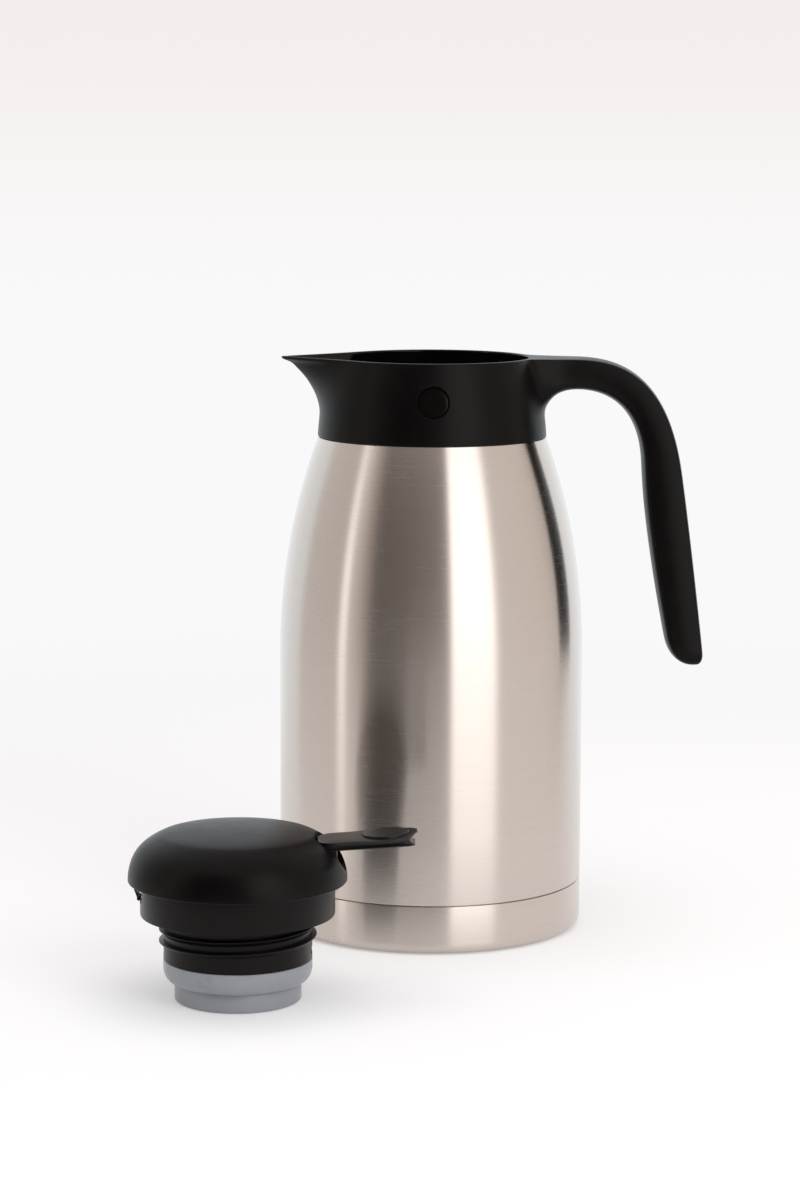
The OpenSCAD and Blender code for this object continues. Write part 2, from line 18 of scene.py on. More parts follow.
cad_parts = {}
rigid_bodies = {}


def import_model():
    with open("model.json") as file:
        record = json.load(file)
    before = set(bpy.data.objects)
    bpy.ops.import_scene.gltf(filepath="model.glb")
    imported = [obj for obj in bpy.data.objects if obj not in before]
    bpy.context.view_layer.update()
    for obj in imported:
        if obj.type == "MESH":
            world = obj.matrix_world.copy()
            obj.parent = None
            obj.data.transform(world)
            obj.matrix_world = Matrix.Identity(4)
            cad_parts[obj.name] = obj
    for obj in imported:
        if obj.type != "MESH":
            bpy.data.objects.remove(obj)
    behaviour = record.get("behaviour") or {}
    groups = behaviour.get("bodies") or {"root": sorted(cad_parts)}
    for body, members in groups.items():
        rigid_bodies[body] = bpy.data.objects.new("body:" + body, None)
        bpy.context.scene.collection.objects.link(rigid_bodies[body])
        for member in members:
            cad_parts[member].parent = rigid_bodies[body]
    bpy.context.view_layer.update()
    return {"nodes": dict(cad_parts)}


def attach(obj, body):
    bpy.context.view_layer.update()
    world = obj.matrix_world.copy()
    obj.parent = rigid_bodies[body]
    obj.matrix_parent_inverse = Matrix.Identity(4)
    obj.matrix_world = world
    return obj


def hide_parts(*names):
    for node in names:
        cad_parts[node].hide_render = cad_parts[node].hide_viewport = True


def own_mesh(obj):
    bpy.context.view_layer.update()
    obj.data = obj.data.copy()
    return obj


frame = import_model()
MM = 0.001

# %% [markdown]
# ## The camera
# A long lens keeps the upright lines of a bottle nearly parallel. The photographer stood about a metre and
# a half away, a little above the rim, and looked slightly down. The place was worked out from ellipses: the
# rim, the collar's lower edge and the seam are all circles, and how flat each looks gives the camera's
# height.

# %% Camera
camera_data = bpy.data.cameras.new("camera")
camera_data.lens = 100
camera_data.sensor_width = 36
camera = bpy.data.objects.new("camera", camera_data)
bpy.context.scene.collection.objects.link(camera)
CAMERA_PLACE, PITCH, ROLL = (-13.5, -1419.66, 349.76), 8.389, 0.2
camera.matrix_world = (
    Matrix.Translation(Vector(CAMERA_PLACE) * MM)
    @ Matrix.Rotation(math.radians(90 - PITCH), 4, "X")
    @ Matrix.Rotation(math.radians(ROLL), 4, "Z")
)
bpy.context.scene.camera = camera
print("camera at", [round(v, 3) for v in camera.location])

# %% [markdown]
# ## A few tools of the workshop
# Blender's operators act on whatever is selected, and loading the frame leaves its parts selected. So each
# step first clears the selection, and then picks what it needs by place. `pick` does that in edit mode.

# %% Selection helpers
MERGE_GAP = 0.002  # mm, below which two points are one


def only(piece):
    """Selects one object and makes it active."""
    bpy.ops.object.select_all(action="DESELECT")
    piece.select_set(True)
    bpy.context.view_layer.objects.active = piece


def pick(test, kind="verts"):
    """In edit mode, selects the vertices, edges or faces whose middle, in mm, passes a test."""
    mesh = bmesh.from_edit_mesh(bpy.context.edit_object.data)
    bpy.ops.mesh.select_all(action="DESELECT")
    for part in getattr(mesh, kind):
        middle = part.co if kind == "verts" else sum((v.co for v in part.verts), Vector()) / len(part.verts)
        if test(middle / MM):
            part.select_set(True)
    mesh.select_flush_mode()
    bmesh.update_edit_mesh(bpy.context.edit_object.data)


def pick_numbers(piece, numbers):
    """In edit mode, selects vertices by their numbers."""
    mesh = bmesh.from_edit_mesh(piece.data)
    mesh.verts.ensure_lookup_table()
    bpy.ops.mesh.select_all(action="DESELECT")
    for number in numbers:
        mesh.verts[number].select_set(True)
    mesh.select_flush_mode()


def start_piece(name):
    """Names the primitive that was just added, puts its place into its mesh and enters edit mode."""
    piece = bpy.context.object
    piece.name = piece.data.name = name
    bpy.ops.object.transform_apply(location=True, rotation=True, scale=True)
    bpy.ops.object.mode_set(mode="EDIT")
    return piece


def add_modifier(piece, kind, **settings):
    """Adds a modifier with its settings and applies it."""
    only(piece)
    modifier = piece.modifiers.new(kind.title(), kind)
    for key, value in settings.items():
        setattr(modifier, key, value)
    bpy.ops.object.modifier_apply(modifier=modifier.name)


def cut(piece, cutter, operation="DIFFERENCE"):
    """Applies a boolean with a cutter and removes the cutter."""
    add_modifier(piece, "BOOLEAN", operation=operation, object=cutter, solver="EXACT")
    bpy.data.objects.remove(cutter)


def outward(piece):
    """Merges doubled points and turns every face outwards."""
    only(piece)
    bpy.ops.object.mode_set(mode="EDIT")
    bpy.ops.mesh.select_all(action="SELECT")
    bpy.ops.mesh.remove_doubles(threshold=MERGE_GAP * MM)
    bpy.ops.mesh.normals_make_consistent(inside=False)
    bpy.ops.object.mode_set(mode="OBJECT")


def smooth(piece, angle=32):
    """Shades smooth, except over edges that are sharper than an angle."""
    only(piece)
    bpy.ops.object.shade_smooth_by_angle(angle=math.radians(angle))


# %% [markdown]
# Most parts of a carafe are turned parts. One way to make them is a Screw modifier on a profile. Here a
# ring is drawn at the profile's first point and then extruded and scaled from point to point, as one would
# by hand, because every step stays visible and gives clean four-sided faces. A radius of 0 closes the
# middle.

# %% Turned parts
DOT_R = 0.01  # mm, radius of the ring that becomes a closed middle


def turned(name, outline, sides=144, closed=True):
    """Makes a ring at the first (radius, height) point, in mm, and extrudes it through all the others."""
    radius, height = outline[0]
    bpy.ops.object.select_all(action="DESELECT")
    bpy.ops.mesh.primitive_circle_add(vertices=sides, radius=max(radius, DOT_R) * MM,
                                      location=(0, 0, height * MM))
    piece = start_piece(name)
    bpy.ops.mesh.select_all(action="SELECT")
    for next_radius, next_height in outline[1:]:
        bpy.ops.mesh.extrude_region_move(
            TRANSFORM_OT_translate={"value": (0, 0, (next_height - height) * MM)})
        share = max(next_radius, DOT_R) / max(radius, DOT_R)
        bpy.ops.transform.resize(value=(share, share, 1), center_override=(0, 0, next_height * MM))
        radius, height = next_radius, next_height
    if closed:
        last = sides * (len(outline) - 1)
        pick_numbers(piece, [*range(sides), *range(last, last + sides)])
        bpy.ops.mesh.bridge_edge_loops()
    # The dots in the middle are merged into one point each
    for end in (outline[0], outline[-1]):
        if end[0] == 0:
            pick(lambda p, end=end: p.xy.length < 2 * DOT_R and abs(p.z - end[1]) < 2 * DOT_R)
            bpy.ops.mesh.merge(type="CENTER")
    bpy.ops.object.mode_set(mode="OBJECT")
    outward(piece)
    return piece


def arc(middle, radii, start, stop, steps):
    """Points of (radius, height) on part of an ellipse. Angles in degrees, 0 outward and 90 up."""
    angles = [math.radians(start + (stop - start) * i / steps) for i in range(steps + 1)]
    return [(middle[0] + radii[0] * math.cos(a), middle[1] + radii[1] * math.sin(a)) for a in angles]


def moved_to(piece, x, y):
    """Moves a piece that was made on the carafe's axis to another axis, in mm, in its mesh."""
    piece.data.transform(Matrix.Translation((x * MM, y * MM, 0)))
    return piece


STOPPER_X, STOPPER_Y = -77.3, -131.8
print("helpers ready; the stopper stands at", (STOPPER_X, STOPPER_Y), "mm")

# %% [markdown]
# ## The steel body
# The outer wall is a drawn steel tube, spun in at the shoulder. A cup is welded on below it, and the weld
# is brushed away until only a hair line is left at 21 mm. The shoulder is one large arc that leaves the
# straight wall without a corner. Under the collar the steel steps in, so that the collar lies flush.

# %% Outer shell
BODY_R, SEAM_Z, SHOULDER_Z, COLLAR_Z, COLLAR_R, STEEL = 65.0, 21.0, 119.0, 211.5, 48.6, 0.8
SHOULDER_RISE, STEP_UNDER_Z = 92.2, 210.6
shoulder_in = BODY_R - COLLAR_R
SHOULDER_R = ((COLLAR_Z - SHOULDER_Z) ** 2 + shoulder_in ** 2) / (2 * shoulder_in)


def shoulder_at(z):
    """Outside radius of the body at a height, in mm."""
    return BODY_R - SHOULDER_R + math.sqrt(SHOULDER_R ** 2 - max(0, z - SHOULDER_Z) ** 2)


wall_heights = [SEAM_Z + 0.6, 50, 80, 100] + [SHOULDER_Z + SHOULDER_RISE * i / 30 for i in range(31)]
outer_wall = [(BODY_R - 0.35, SEAM_Z), (BODY_R - 0.08, SEAM_Z + 0.15)]
outer_wall += [(shoulder_at(z), z) for z in wall_heights]
step = [(48.2, COLLAR_Z), (46.2, COLLAR_Z), (46.2, 214.5), (44.0, 216.8), (36.4, 217.2), (36.4, 226.0),
        (34.65, 226.0), (34.65, 225.2), (35.6, 225.2), (35.6, 216.4), (43.6, 216.0), (45.4, 214.1)]
inner_wall = [(shoulder_at(z) - STEEL, min(z, STEP_UNDER_Z)) for z in reversed(wall_heights)]
inner_wall += [(BODY_R - STEEL, SEAM_Z)]
shell = turned("body_shell", outer_wall + step + inner_wall, sides=192)
smooth(shell)
print("shell:", len(shell.data.polygons), "faces")

# %% Base cup
foot = arc((61.0, 4.5), (4.0, 4.5), -90, 0, 10)
foot_inside = arc((61.0, 4.5), (3.2, 3.7), 0, -90, 10)
groove = [(45.6, 0.0), (46.1, 0.3), (51.9, 0.3), (52.4, 0.0)]
cup_top = [(BODY_R, 20.2), (BODY_R - 0.08, 20.55), (BODY_R - 0.35, 20.7), (64.2, 20.7)]
cup = turned("base_foot", [(0, 0.0)] + groove + foot + cup_top + foot_inside + [(0, STEEL)], 192, False)
smooth(cup)
print("cup:", len(cup.data.polygons), "faces")

# %% [markdown]
# The inner vessel is the bottle that holds the drink. It follows the shoulder six millimetres further in,
# turns under the neck into a narrow waist where the stopper's seal presses, and ends at the lip. Its wall
# gets its thickness from a Solidify modifier, which moves a copy of every face along its own normal.

# %% Inner vessel
VESSEL_RISE, vessel_gap = 75, STEEL + 5.2
vessel_floor = arc((46.0, 26.0), (13.0, 13.0), -90, 0, 10)
vessel_heights = [60, 90] + [SHOULDER_Z + VESSEL_RISE * i / 16 for i in range(17)]
vessel_side = [(shoulder_at(z) - vessel_gap, z) for z in vessel_heights]
throat = [(46.6, 198.5), (43, 202.4), (38, 204.9), (33, 206.1), (30.15, 206.9), (29.85, 207.6), (30.7, 210.3),
          (30.7, 214.0), (34.6, 216.9), (34.6, 226.0)]
vessel = turned("inner_bottle", [(0, 13.0)] + vessel_floor + vessel_side + throat, sides=144, closed=False)
add_modifier(vessel, "SOLIDIFY", thickness=STEEL * MM, offset=-1)
smooth(vessel, 40)
print("vessel:", len(vessel.data.polygons), "faces")

# %% [markdown]
# ## The collar and the handle
# They look like one moulding, with a soft fillet all round the handle's root, so they are modelled as one
# cage: a ring of faces is drawn up into the collar, the faces behind the mouth are extruded along the
# handle's curve, and a Subdivision Surface modifier rounds it all. Joining two separate solids would leave
# a hard line where they meet.
#
# First the ring. Its columns stand close together at the spout, where the rim turns sharply, and are evenly
# spaced behind it. Each number is an angle from the middle of the spout.

# %% Collar: columns and rows
half_turn = [0, 1.6, 3.8, 6.4, 9.4, 13, 17, 21.5, 26.5, 32, 38]
half_turn += [44 + 6.1 * i for i in range(17)] + [147.7, 154.9, 161.6, 168, 174, 180]
columns = half_turn + [360 - a for a in reversed(half_turn[1:-1])]
RIM_Z, RIM_R, MOUTH_R, SPOUT_REACH = 245.3, 43.0, 41.0, 64.0
COLLAR_FOOT_Z, COLLAR_FOOT_R, COLLAR_LEAN, COLLAR_TURN_IN = 211.6, 48.9, 2.2, 3.7


def collar_at(z):
    """Outside radius of the collar at a height, away from the spout."""
    t = (z - COLLAR_FOOT_Z) / (RIM_Z - COLLAR_FOOT_Z)
    return COLLAR_FOOT_R - COLLAR_LEAN * t - COLLAR_TURN_IN * max(0, t) ** 2.2


outside_rows = [COLLAR_FOOT_Z, 212.0, 214.5, 217.5, 220.5, 223.4, 228.0, 232.4, 236.8, 240.8, 242.9, 243.9,
                244.6, 245.1]
inside_rows = [244.6, 242.5, 239.5, 236.0, 232.6, 229.0]
rows = [("out", collar_at(z), z) for z in outside_rows]
rows += [("out", RIM_R - 0.35, RIM_Z), ("in", MOUTH_R + 0.45, RIM_Z), ("in", MOUTH_R + 0.02, RIM_Z - 0.25)]
rows += [("in", MOUTH_R, z) for z in inside_rows]
hidden_rows = [(MOUTH_R, 228.0), (36.9, 227.9), (36.9, 217.9), (46.5, 217.7), (46.5, 211.9),
               (46.7, COLLAR_FOOT_Z)]
rows += [("hidden", radius, z) for radius, z in hidden_rows]
print(len(columns), "columns and", len(rows), "rows")

# %% [markdown]
# The rim flows out into the spout over 50 degrees on each side, most of it in the last 15. `spout_share`
# says how much of the spout's reach a direction gets, and `spout_reach` how far the spout stands out at a
# height: little at the foot of the collar and most at the rim, so that its underside is a hollow curve. It
# ends in a thin lip, from which the last drop falls clean.

# %% Spout
LIP_Z, LIP_ROOT = 243.0, 59.8
SPOUT_HALF_ANGLE, SPOUT_LOW_Z, CHANNEL_LOW_Z = 50, 222, 231
UNDER_SPOUT_R, LIP_RISE, LIP_THICK = 48, 1.6, 2.2
NOSE_LOW_Z, NOSE_PULL, NOSE_ROUND = 238, 0.9, 0.03


def spout_share(angle):
    """Share of the spout's reach at an angle from its middle, with a small round nose."""
    u = min(angle, 360 - angle) / SPOUT_HALF_ANGLE
    return 0 if u >= 1 else (1 - (math.sqrt(u * u + NOSE_ROUND ** 2) - NOSE_ROUND)) ** 3


def spout_reach(kind, z):
    """How far from the axis the spout's outside or its channel comes at a height."""
    if kind == "out" and z > LIP_Z:
        return LIP_ROOT + (SPOUT_REACH - LIP_ROOT) * min(1, (z - LIP_Z) / LIP_RISE) ** 0.35
    if kind == "out":
        rise = max(0, z - SPOUT_LOW_Z) / (LIP_Z - SPOUT_LOW_Z)
        return UNDER_SPOUT_R + (LIP_ROOT - UNDER_SPOUT_R) * rise ** 1.75
    depth = max(0, z - CHANNEL_LOW_Z) / (RIM_Z - CHANNEL_LOW_Z)
    return MOUTH_R + (SPOUT_REACH - LIP_THICK - MOUTH_R) * depth ** 0.9


def collar_point(kind, radius, z, angle):
    """A point of the collar in mm, with the spout's pull added to a plain ring."""
    grown = radius
    if kind != "hidden":
        grown += max(0, spout_reach(kind, z) - radius) * spout_share(angle)
    # A subdivision surface draws in a sharp nose, so the points at the nose are set further out
    if kind != "hidden" and min(angle, 360 - angle) < 1 and z > NOSE_LOW_Z:
        grown += NOSE_PULL
    turn = math.radians(180 + angle)
    return Vector((grown * math.cos(turn), grown * math.sin(turn), z))


bpy.ops.object.select_all(action="DESELECT")
bpy.ops.mesh.primitive_circle_add(vertices=len(columns), radius=rows[0][1] * MM,
                                  location=(0, 0, rows[0][2] * MM))
collar = start_piece("collar_and_handle")
bpy.ops.mesh.select_all(action="SELECT")
for _ in rows[1:]:
    bpy.ops.mesh.extrude_region_move()
bpy.ops.object.mode_set(mode="OBJECT")
# Each extruded ring adds its points in the order of the first one, so row and column follow from the number
for number, v in enumerate(collar.data.vertices):
    kind, radius, z = rows[number // len(columns)]
    v.co = collar_point(kind, radius, z, columns[number % len(columns)]) * MM
only(collar)
bpy.ops.object.mode_set(mode="EDIT")
last = len(columns) * (len(rows) - 1)
pick_numbers(collar, [*range(len(columns)), *range(last, last + len(columns))])
bpy.ops.mesh.bridge_edge_loops()
bpy.ops.object.mode_set(mode="OBJECT")
# The inside of the mouth gets a second, glossy finish, so its faces are marked here, where the rows are known
first_inside = next(i for i, row in enumerate(rows) if row[0] == "in" and row[2] < RIM_Z)
for _ in range(2):
    collar.data.materials.append(None)
for face in collar.data.polygons:
    face.material_index = int(min(i // len(columns) for i in face.vertices) >= first_inside)
print("collar cage:", len(collar.data.polygons), "faces")

# %% [markdown]
# The handle's side view is two outlines, the back of the hand's side and the palm's side, each a chain of
# Bezier curves. Stations pair a point on one with a point on the other, and every station gets a rounded
# section between the two. The region behind the mouth is extruded from station to station. At the end the
# corner under the handle's root is smoothed into a fillet.

# %% Handle outlines
def bezier(p, t):
    """Point of a cubic Bezier curve in the plane y = 0."""
    weights = ((1 - t) ** 3, 3 * (1 - t) ** 2 * t, 3 * (1 - t) * t * t, t ** 3)
    return Vector((sum(w * q[0] for w, q in zip(weights, p)), sum(w * q[1] for w, q in zip(weights, p))))


back_curves = [
    [(49.5, 245.25), (54, 245.25), (58, 245.3), (62, 245.3)],
    [(62, 245.3), (83, 245.3), (99.8, 235.4), (106.2, 200.5)],
    [(106.2, 200.5), (110.4, 173), (114.4, 140), (116.85, 118.6)],
    [(116.85, 118.6), (117.1, 115.7), (116.3, 113.6), (113.4, 113.6)],
]
palm_curves = [
    [(49.4, 226.3), (50.7, 229.6), (54.6, 231.75), (60.3, 231.75)],
    [(60.3, 231.75), (79.9, 231.9), (88.9, 218.8), (89.5, 199.6)],
    [(89.5, 199.6), (90.1, 179), (96.3, 144.7), (100.2, 125.2)],
    [(100.2, 125.2), (101.4, 119), (105, 113.6), (111.2, 113.6)],
]
curve_steps = [4, 12, 9, 8]
stations = [(bezier(back_curves[0], 0), bezier(palm_curves[0], 0))]
for back, palm, steps in zip(back_curves, palm_curves, curve_steps):
    stations += [(bezier(back, i / steps), bezier(palm, i / steps)) for i in range(1, steps + 1)]
print(len(stations), "stations along the handle")

# %% Handle: extrude the region behind the mouth
HANDLE_HALF_W, ROOT_STATIONS, TIP_SHARE = 11.0, 6, 0.42
REGION_LOW_Z, REGION_HALF_ANGLE = 223.4, 19
region_rows = [i for i, row in enumerate(rows) if row[0] == "out" and row[2] >= REGION_LOW_Z]
region_columns = [i for i, a in enumerate(columns) if abs(a - 180) < REGION_HALF_ANGLE]


def section_point(u, v, near_root, to_tip):
    """A point of a section, as shares of its half width and half depth. u runs across it, v outward."""
    outer, inner = 0.30, 0.62
    round_off = (outer if v > 0 else inner) * (1 - 0.75 * near_root) + 0.25 * (1 - to_tip)
    return (u * math.sqrt(1 - round_off * v * v / 2), v * math.sqrt(1 - round_off * u * u / 2))


only(collar)
bpy.ops.object.mode_set(mode="EDIT")
mesh = bmesh.from_edit_mesh(collar.data)
mesh.verts.ensure_lookup_table()
width, height = len(region_columns), len(region_rows)


def place_key(v):
    """A point's place, rounded, so that the points of an extrusion can be told by where they lie."""
    return tuple(round(c, 7) for c in v.co)


grid = {}
for j, row in enumerate(region_rows):
    for i, column in enumerate(region_columns):
        grid[place_key(mesh.verts[row * len(columns) + column])] = (i, j)
bpy.ops.mesh.select_all(action="DESELECT")
for face in mesh.faces:
    if all(place_key(v) in grid for v in face.verts):
        face.select_set(True)
mesh.select_flush_mode()
wall_v = [2 * (rows[j][2] - REGION_LOW_Z) / (RIM_Z - REGION_LOW_Z) - 1 for j in region_rows]
grip_v = [-1, -0.72, -0.42, -0.1, 0.18, 0.4, 0.58, 0.74, 0.88, 1]
flare = [1.5, 0.75, 0.35, 0.15, 0.05]
for number, (back, palm) in enumerate(stations):
    bpy.ops.mesh.extrude_region_move()
    mesh = bmesh.from_edit_mesh(collar.data)
    # The new points lie on the old ones, so each takes over the place in the grid of the one it covers
    covering = {v: grid[place_key(v)] for v in mesh.verts if v.select}
    near_root = max(0, 1 - number / ROOT_STATIONS)
    to_tip = min(1, (len(stations) - 1 - number) / curve_steps[-1])
    half_w = HANDLE_HALF_W * (TIP_SHARE + (1 - TIP_SHARE) * math.sqrt(1 - (1 - to_tip) ** 2))
    half_w += flare[number] if number < len(flare) else 0
    for v, (i, j) in covering.items():
        u = 2 * i / (width - 1) - 1
        depth = wall_v[j] * near_root + grip_v[j] * (1 - near_root)
        across, outward_share = section_point(u, depth, near_root, to_tip)
        place = (back + palm) / 2 + (back - palm) / 2 * outward_share
        v.co = Vector((place.x, across * half_w, place.y)) * MM
    grid = {place_key(v): key for v, key in covering.items()}
    bmesh.update_edit_mesh(collar.data)
bpy.ops.object.mode_set(mode="OBJECT")
print("cage with handle:", len(collar.data.polygons), "faces")

# %% Round the cage
ROOT_LOW, ROOT_HIGH = (43, -24, 219), (57, 24, 241)  # corners of the box round the handle's root
only(collar)
bpy.ops.object.mode_set(mode="EDIT")
pick(lambda p: all(a < c < b for a, c, b in zip(ROOT_LOW, p, ROOT_HIGH)))
bpy.ops.mesh.vertices_smooth(factor=0.5, repeat=3)
bpy.ops.object.mode_set(mode="OBJECT")
add_modifier(collar, "SUBSURF", levels=2, render_levels=2)
outward(collar)
low, high = Vector(collar.bound_box[0]), Vector(collar.bound_box[6])
print("collar and handle from", [round(c / MM, 1) for c in low], "to", [round(c / MM, 1) for c in high])

# %% [markdown]
# A round recess is sunk in each side of the collar, square to its leaning wall, and a glossy plug closes
# it. A boolean cut with a turned cutter gives the recess and the small bevel round its edge in one go.

# %% Side recesses and plugs
WALL_LEAN, RECESS_FLOOR_Y, RECESS_FLOOR_Z = 10, 43.3, 229.0
recess_outline = [(0, 0), (6.45, 0), (6.45, 2.2), (6.6, 2.6), (7.0, 3.05), (7.5, 3.45), (8.1, 3.8),
                  (8.8, 4.1), (8.8, 6.5), (0, 6.5)]
plug_outline = [(0, 0.05), (6.35, 0.05), (6.35, 1.0)] + arc((6.1, 1.0), (0.25, 0.25), 0, 90, 3)
plug_outline += [(3, 1.25), (0, 1.25)]
for side, plug_name in ((-1, "side_disc_front"), (1, "side_disc_back")):
    turn = (Matrix.Translation((0, side * RECESS_FLOOR_Y * MM, RECESS_FLOOR_Z * MM))
            @ Matrix.Rotation(math.radians((WALL_LEAN - 90) * side), 4, "X"))
    cutter = turned("recess_cutter", recess_outline, 96, False)
    cutter.data.transform(turn)
    cut(collar, cutter)
    plug = turned(plug_name, plug_outline, 64, False)
    plug.data.transform(turn)
    smooth(plug)
smooth(collar, 38)
print("collar:", len(collar.data.polygons), "faces")

# %% [markdown]
# ## The inside of the mouth
# The stopper screws into a glossy insert under the collar. A screw thread has no flat symmetry to copy, so
# its ridge is a small section that is extruded step by step while it turns and climbs. It is a sawtooth:
# its flat flank carries the load and the other one slopes. Real moulded threads fade out at both ends, so
# that they can't chip.

# %% Screw ridges
PITCH_MM, STEPS_PER_TURN, FADE_STEPS = 4.8, 72, 8
# Corners of the ridge's section: share of the way from root to tip, and height in mm
SAWTOOTH = [(0, 1.25), (0.92, 0.95), (1, 0.75), (0.98, 0.4), (0.3, -1.25), (0, -1.9)]


def screw_ridge(name, root_r, tip_r, flat_flank, low, start, turns):
    """Extrudes a sawtooth ridge along a right-hand helix, and fades out its ends. flat_flank is 1 for a flat
    upper flank and -1 for a flat lower one."""
    section = [(share, height * flat_flank) for share, height in SAWTOOTH]
    steps = round(STEPS_PER_TURN * turns)
    bpy.ops.object.select_all(action="DESELECT")
    bpy.ops.mesh.primitive_circle_add(vertices=len(section), radius=MM)
    piece = start_piece(name)
    bpy.ops.mesh.select_all(action="SELECT")
    for _ in range(steps):
        bpy.ops.mesh.extrude_region_move()
    bpy.ops.object.mode_set(mode="OBJECT")
    for number, v in enumerate(piece.data.vertices):
        step, corner = divmod(number, len(section))
        fade = min(1, (min(step, steps - step) + 0.4) / FADE_STEPS)
        fade = fade * fade * (3 - 2 * fade)
        share, height = section[corner]
        radius = root_r + (tip_r - root_r) * share * fade
        turn = math.radians(start + 360 * turns * step / steps)
        climb = low + PITCH_MM * turns * step / steps
        climb += height * (0.4 + 0.6 * fade)
        v.co = Vector((radius * math.cos(turn), radius * math.sin(turn), climb)) * MM
    only(piece)
    bpy.ops.object.mode_set(mode="EDIT")
    for end in (0, steps):
        pick_numbers(piece, range(end * len(section), (end + 1) * len(section)))
        bpy.ops.mesh.edge_face_add()
    bpy.ops.object.mode_set(mode="OBJECT")
    outward(piece)
    return piece


def joined(name, *pieces):
    """Joins pieces into the first one and names it."""
    only(pieces[0])
    for piece in pieces[1:]:
        piece.select_set(True)
    bpy.ops.object.join()
    pieces[0].name = pieces[0].data.name = name
    return pieces[0]


# %% Mouth insert
insert_outline = [(31.8, 217.6), (32.0, 217.4), (33.3, 217.4), (33.3, 228.0), (40.8, 228.0),
                  (40.8, 231.1), (40.6, 231.3), (40.2, 231.3), (33.4, 230.6), (32.3, 230.2), (31.8, 229.2)]
insert_ring = turned("mouth_insert", insert_outline)
insert_ridge = screw_ridge("insert_ridge", root_r=32.5, tip_r=30.1, flat_flank=-1, low=219.4, start=270,
                           turns=1.6)
insert = joined("mouth_insert", insert_ring, insert_ridge)
smooth(insert, 40)
print("insert:", len(insert.data.polygons), "faces")

# %% [markdown]
# ## The stopper
# It stands on its seal, beside the carafe. From the table up there are the grey two-step seal, the threaded
# stem, the skirt with the pouring window, and the dome. The stem and the skirt are one moulding, so they
# are one turned outline. The window and the two slots for the seal carrier's hooks are cut with booleans.

# %% Stopper body
stopper_outline = [(27.3, 16.65), (29.2, 16.65), (29.5, 16.95), (29.5, 33.3), (29.75, 34.0), (30.4, 34.4),
                   (38.0, 34.4), (38.45, 34.55), (38.6, 35.0), (38.6, 47.7), (38.9, 48.0), (41.0, 48.0),
                   (41.0, 49.5), (36.6, 49.5), (36.6, 36.4), (27.3, 36.4)]
stopper = turned("stopper_shell", stopper_outline, sides=160)


def box_cutter(low, high, round_edges=0, along=None):
    """A block between two corners in mm, whose edges along one axis may be rounded."""
    middle = [(a + b) / 2 * MM for a, b in zip(low, high)]
    bpy.ops.object.select_all(action="DESELECT")
    size = [(b - a) * MM for a, b in zip(low, high)]
    bpy.ops.mesh.primitive_cube_add(size=1, location=middle, scale=size)
    cutter = start_piece("cutter")
    if round_edges:
        mesh = bmesh.from_edit_mesh(cutter.data)
        bpy.ops.mesh.select_all(action="DESELECT")
        bpy.ops.mesh.select_mode(type="EDGE")
        for edge in mesh.edges:
            run = (edge.verts[0].co - edge.verts[1].co).normalized()
            if abs(run[along]) > 0.9:
                edge.select_set(True)
        bmesh.update_edit_mesh(cutter.data)
        bpy.ops.mesh.bevel(offset=round_edges * MM, segments=4, affect="EDGES")
        bpy.ops.mesh.select_mode(type="VERT")
    bpy.ops.object.mode_set(mode="OBJECT")
    return cutter


# The pouring window, and the slots for the hooks
cut(stopper, box_cutter((-42.6, -10, 39.8), (-30.6, 10, 46.9), round_edges=1.4, along=0))
cut(stopper, box_cutter((-33.5, -4.5, 18.4), (33.5, 4.5, 21.4), round_edges=0.5, along=0))
stopper_ridge = screw_ridge("stopper_ridge", root_r=28.8, tip_r=31.3, flat_flank=1, low=22.3, start=115,
                            turns=1.79)
stopper = moved_to(joined("stopper_shell", stopper, stopper_ridge), STOPPER_X, STOPPER_Y)
smooth(stopper, 34)
print("stopper body:", len(stopper.data.polygons), "faces")

# %% [markdown]
# The dome is a thin cover. Its top is almost flat and turns over a soft crease into a full round side. The
# outline was read off the photograph's silhouette, and the inside follows 2.2 mm further in. A notch lets
# the lever through: it is a U seen from outside and has round inner corners seen from above, so the cutter
# is the common part of two blocks with rounded edges.

# %% Dome
dome_outside = [(0, 69.0), (8, 68.86), (15, 68.45), (21, 67.95), (26, 67.35), (29.2, 66.8), (30.4, 66.45),
                (31.7, 65.9), (33.5, 65.0), (35.4, 63.85), (37.2, 62.6), (38.7, 61.2), (40.0, 59.7),
                (41.1, 58.0), (42.0, 56.1), (42.7, 53.9), (43.2, 51.4), (43.4, 49.0), (43.4, 48.35),
                (43.15, 48.0)]
dome_inside = [(41.3, 48.0), (41.2, 49.0), (41.1, 51.2), (40.6, 53.4), (39.9, 55.3), (39.0, 57.0),
               (38.0, 58.4), (36.9, 59.6), (35.5, 60.8), (34.0, 61.8), (32.2, 62.8), (30.4, 63.6),
               (28.8, 64.3), (25.6, 65.1), (20.6, 65.75), (14.6, 66.25), (8, 66.66), (0, 66.8)]
dome = turned("dome_shell", dome_outside + dome_inside, sides=192, closed=False)
NOTCH_HALF_W, NOTCH_Z, NOTCH_ROUND = 10.4, 51.6, 10.2
notch_u = box_cutter((24, -NOTCH_HALF_W, NOTCH_Z), (60, NOTCH_HALF_W, 90))
only(notch_u)
bpy.ops.object.mode_set(mode="EDIT")
bpy.ops.mesh.select_mode(type="EDGE")
pick(lambda p: abs(p.z - NOTCH_Z) < 0.1 and abs(abs(p.y) - NOTCH_HALF_W) < 0.1, "edges")
bpy.ops.mesh.bevel(offset=NOTCH_ROUND * MM, segments=14, affect="EDGES")
bpy.ops.mesh.select_mode(type="VERT")
bpy.ops.object.mode_set(mode="OBJECT")
notch_corners = box_cutter((30.4, -NOTCH_HALF_W, 40), (80, NOTCH_HALF_W, 95), round_edges=5.0, along=2)
cut(notch_u, notch_corners, "INTERSECT")
cut(dome, notch_u)
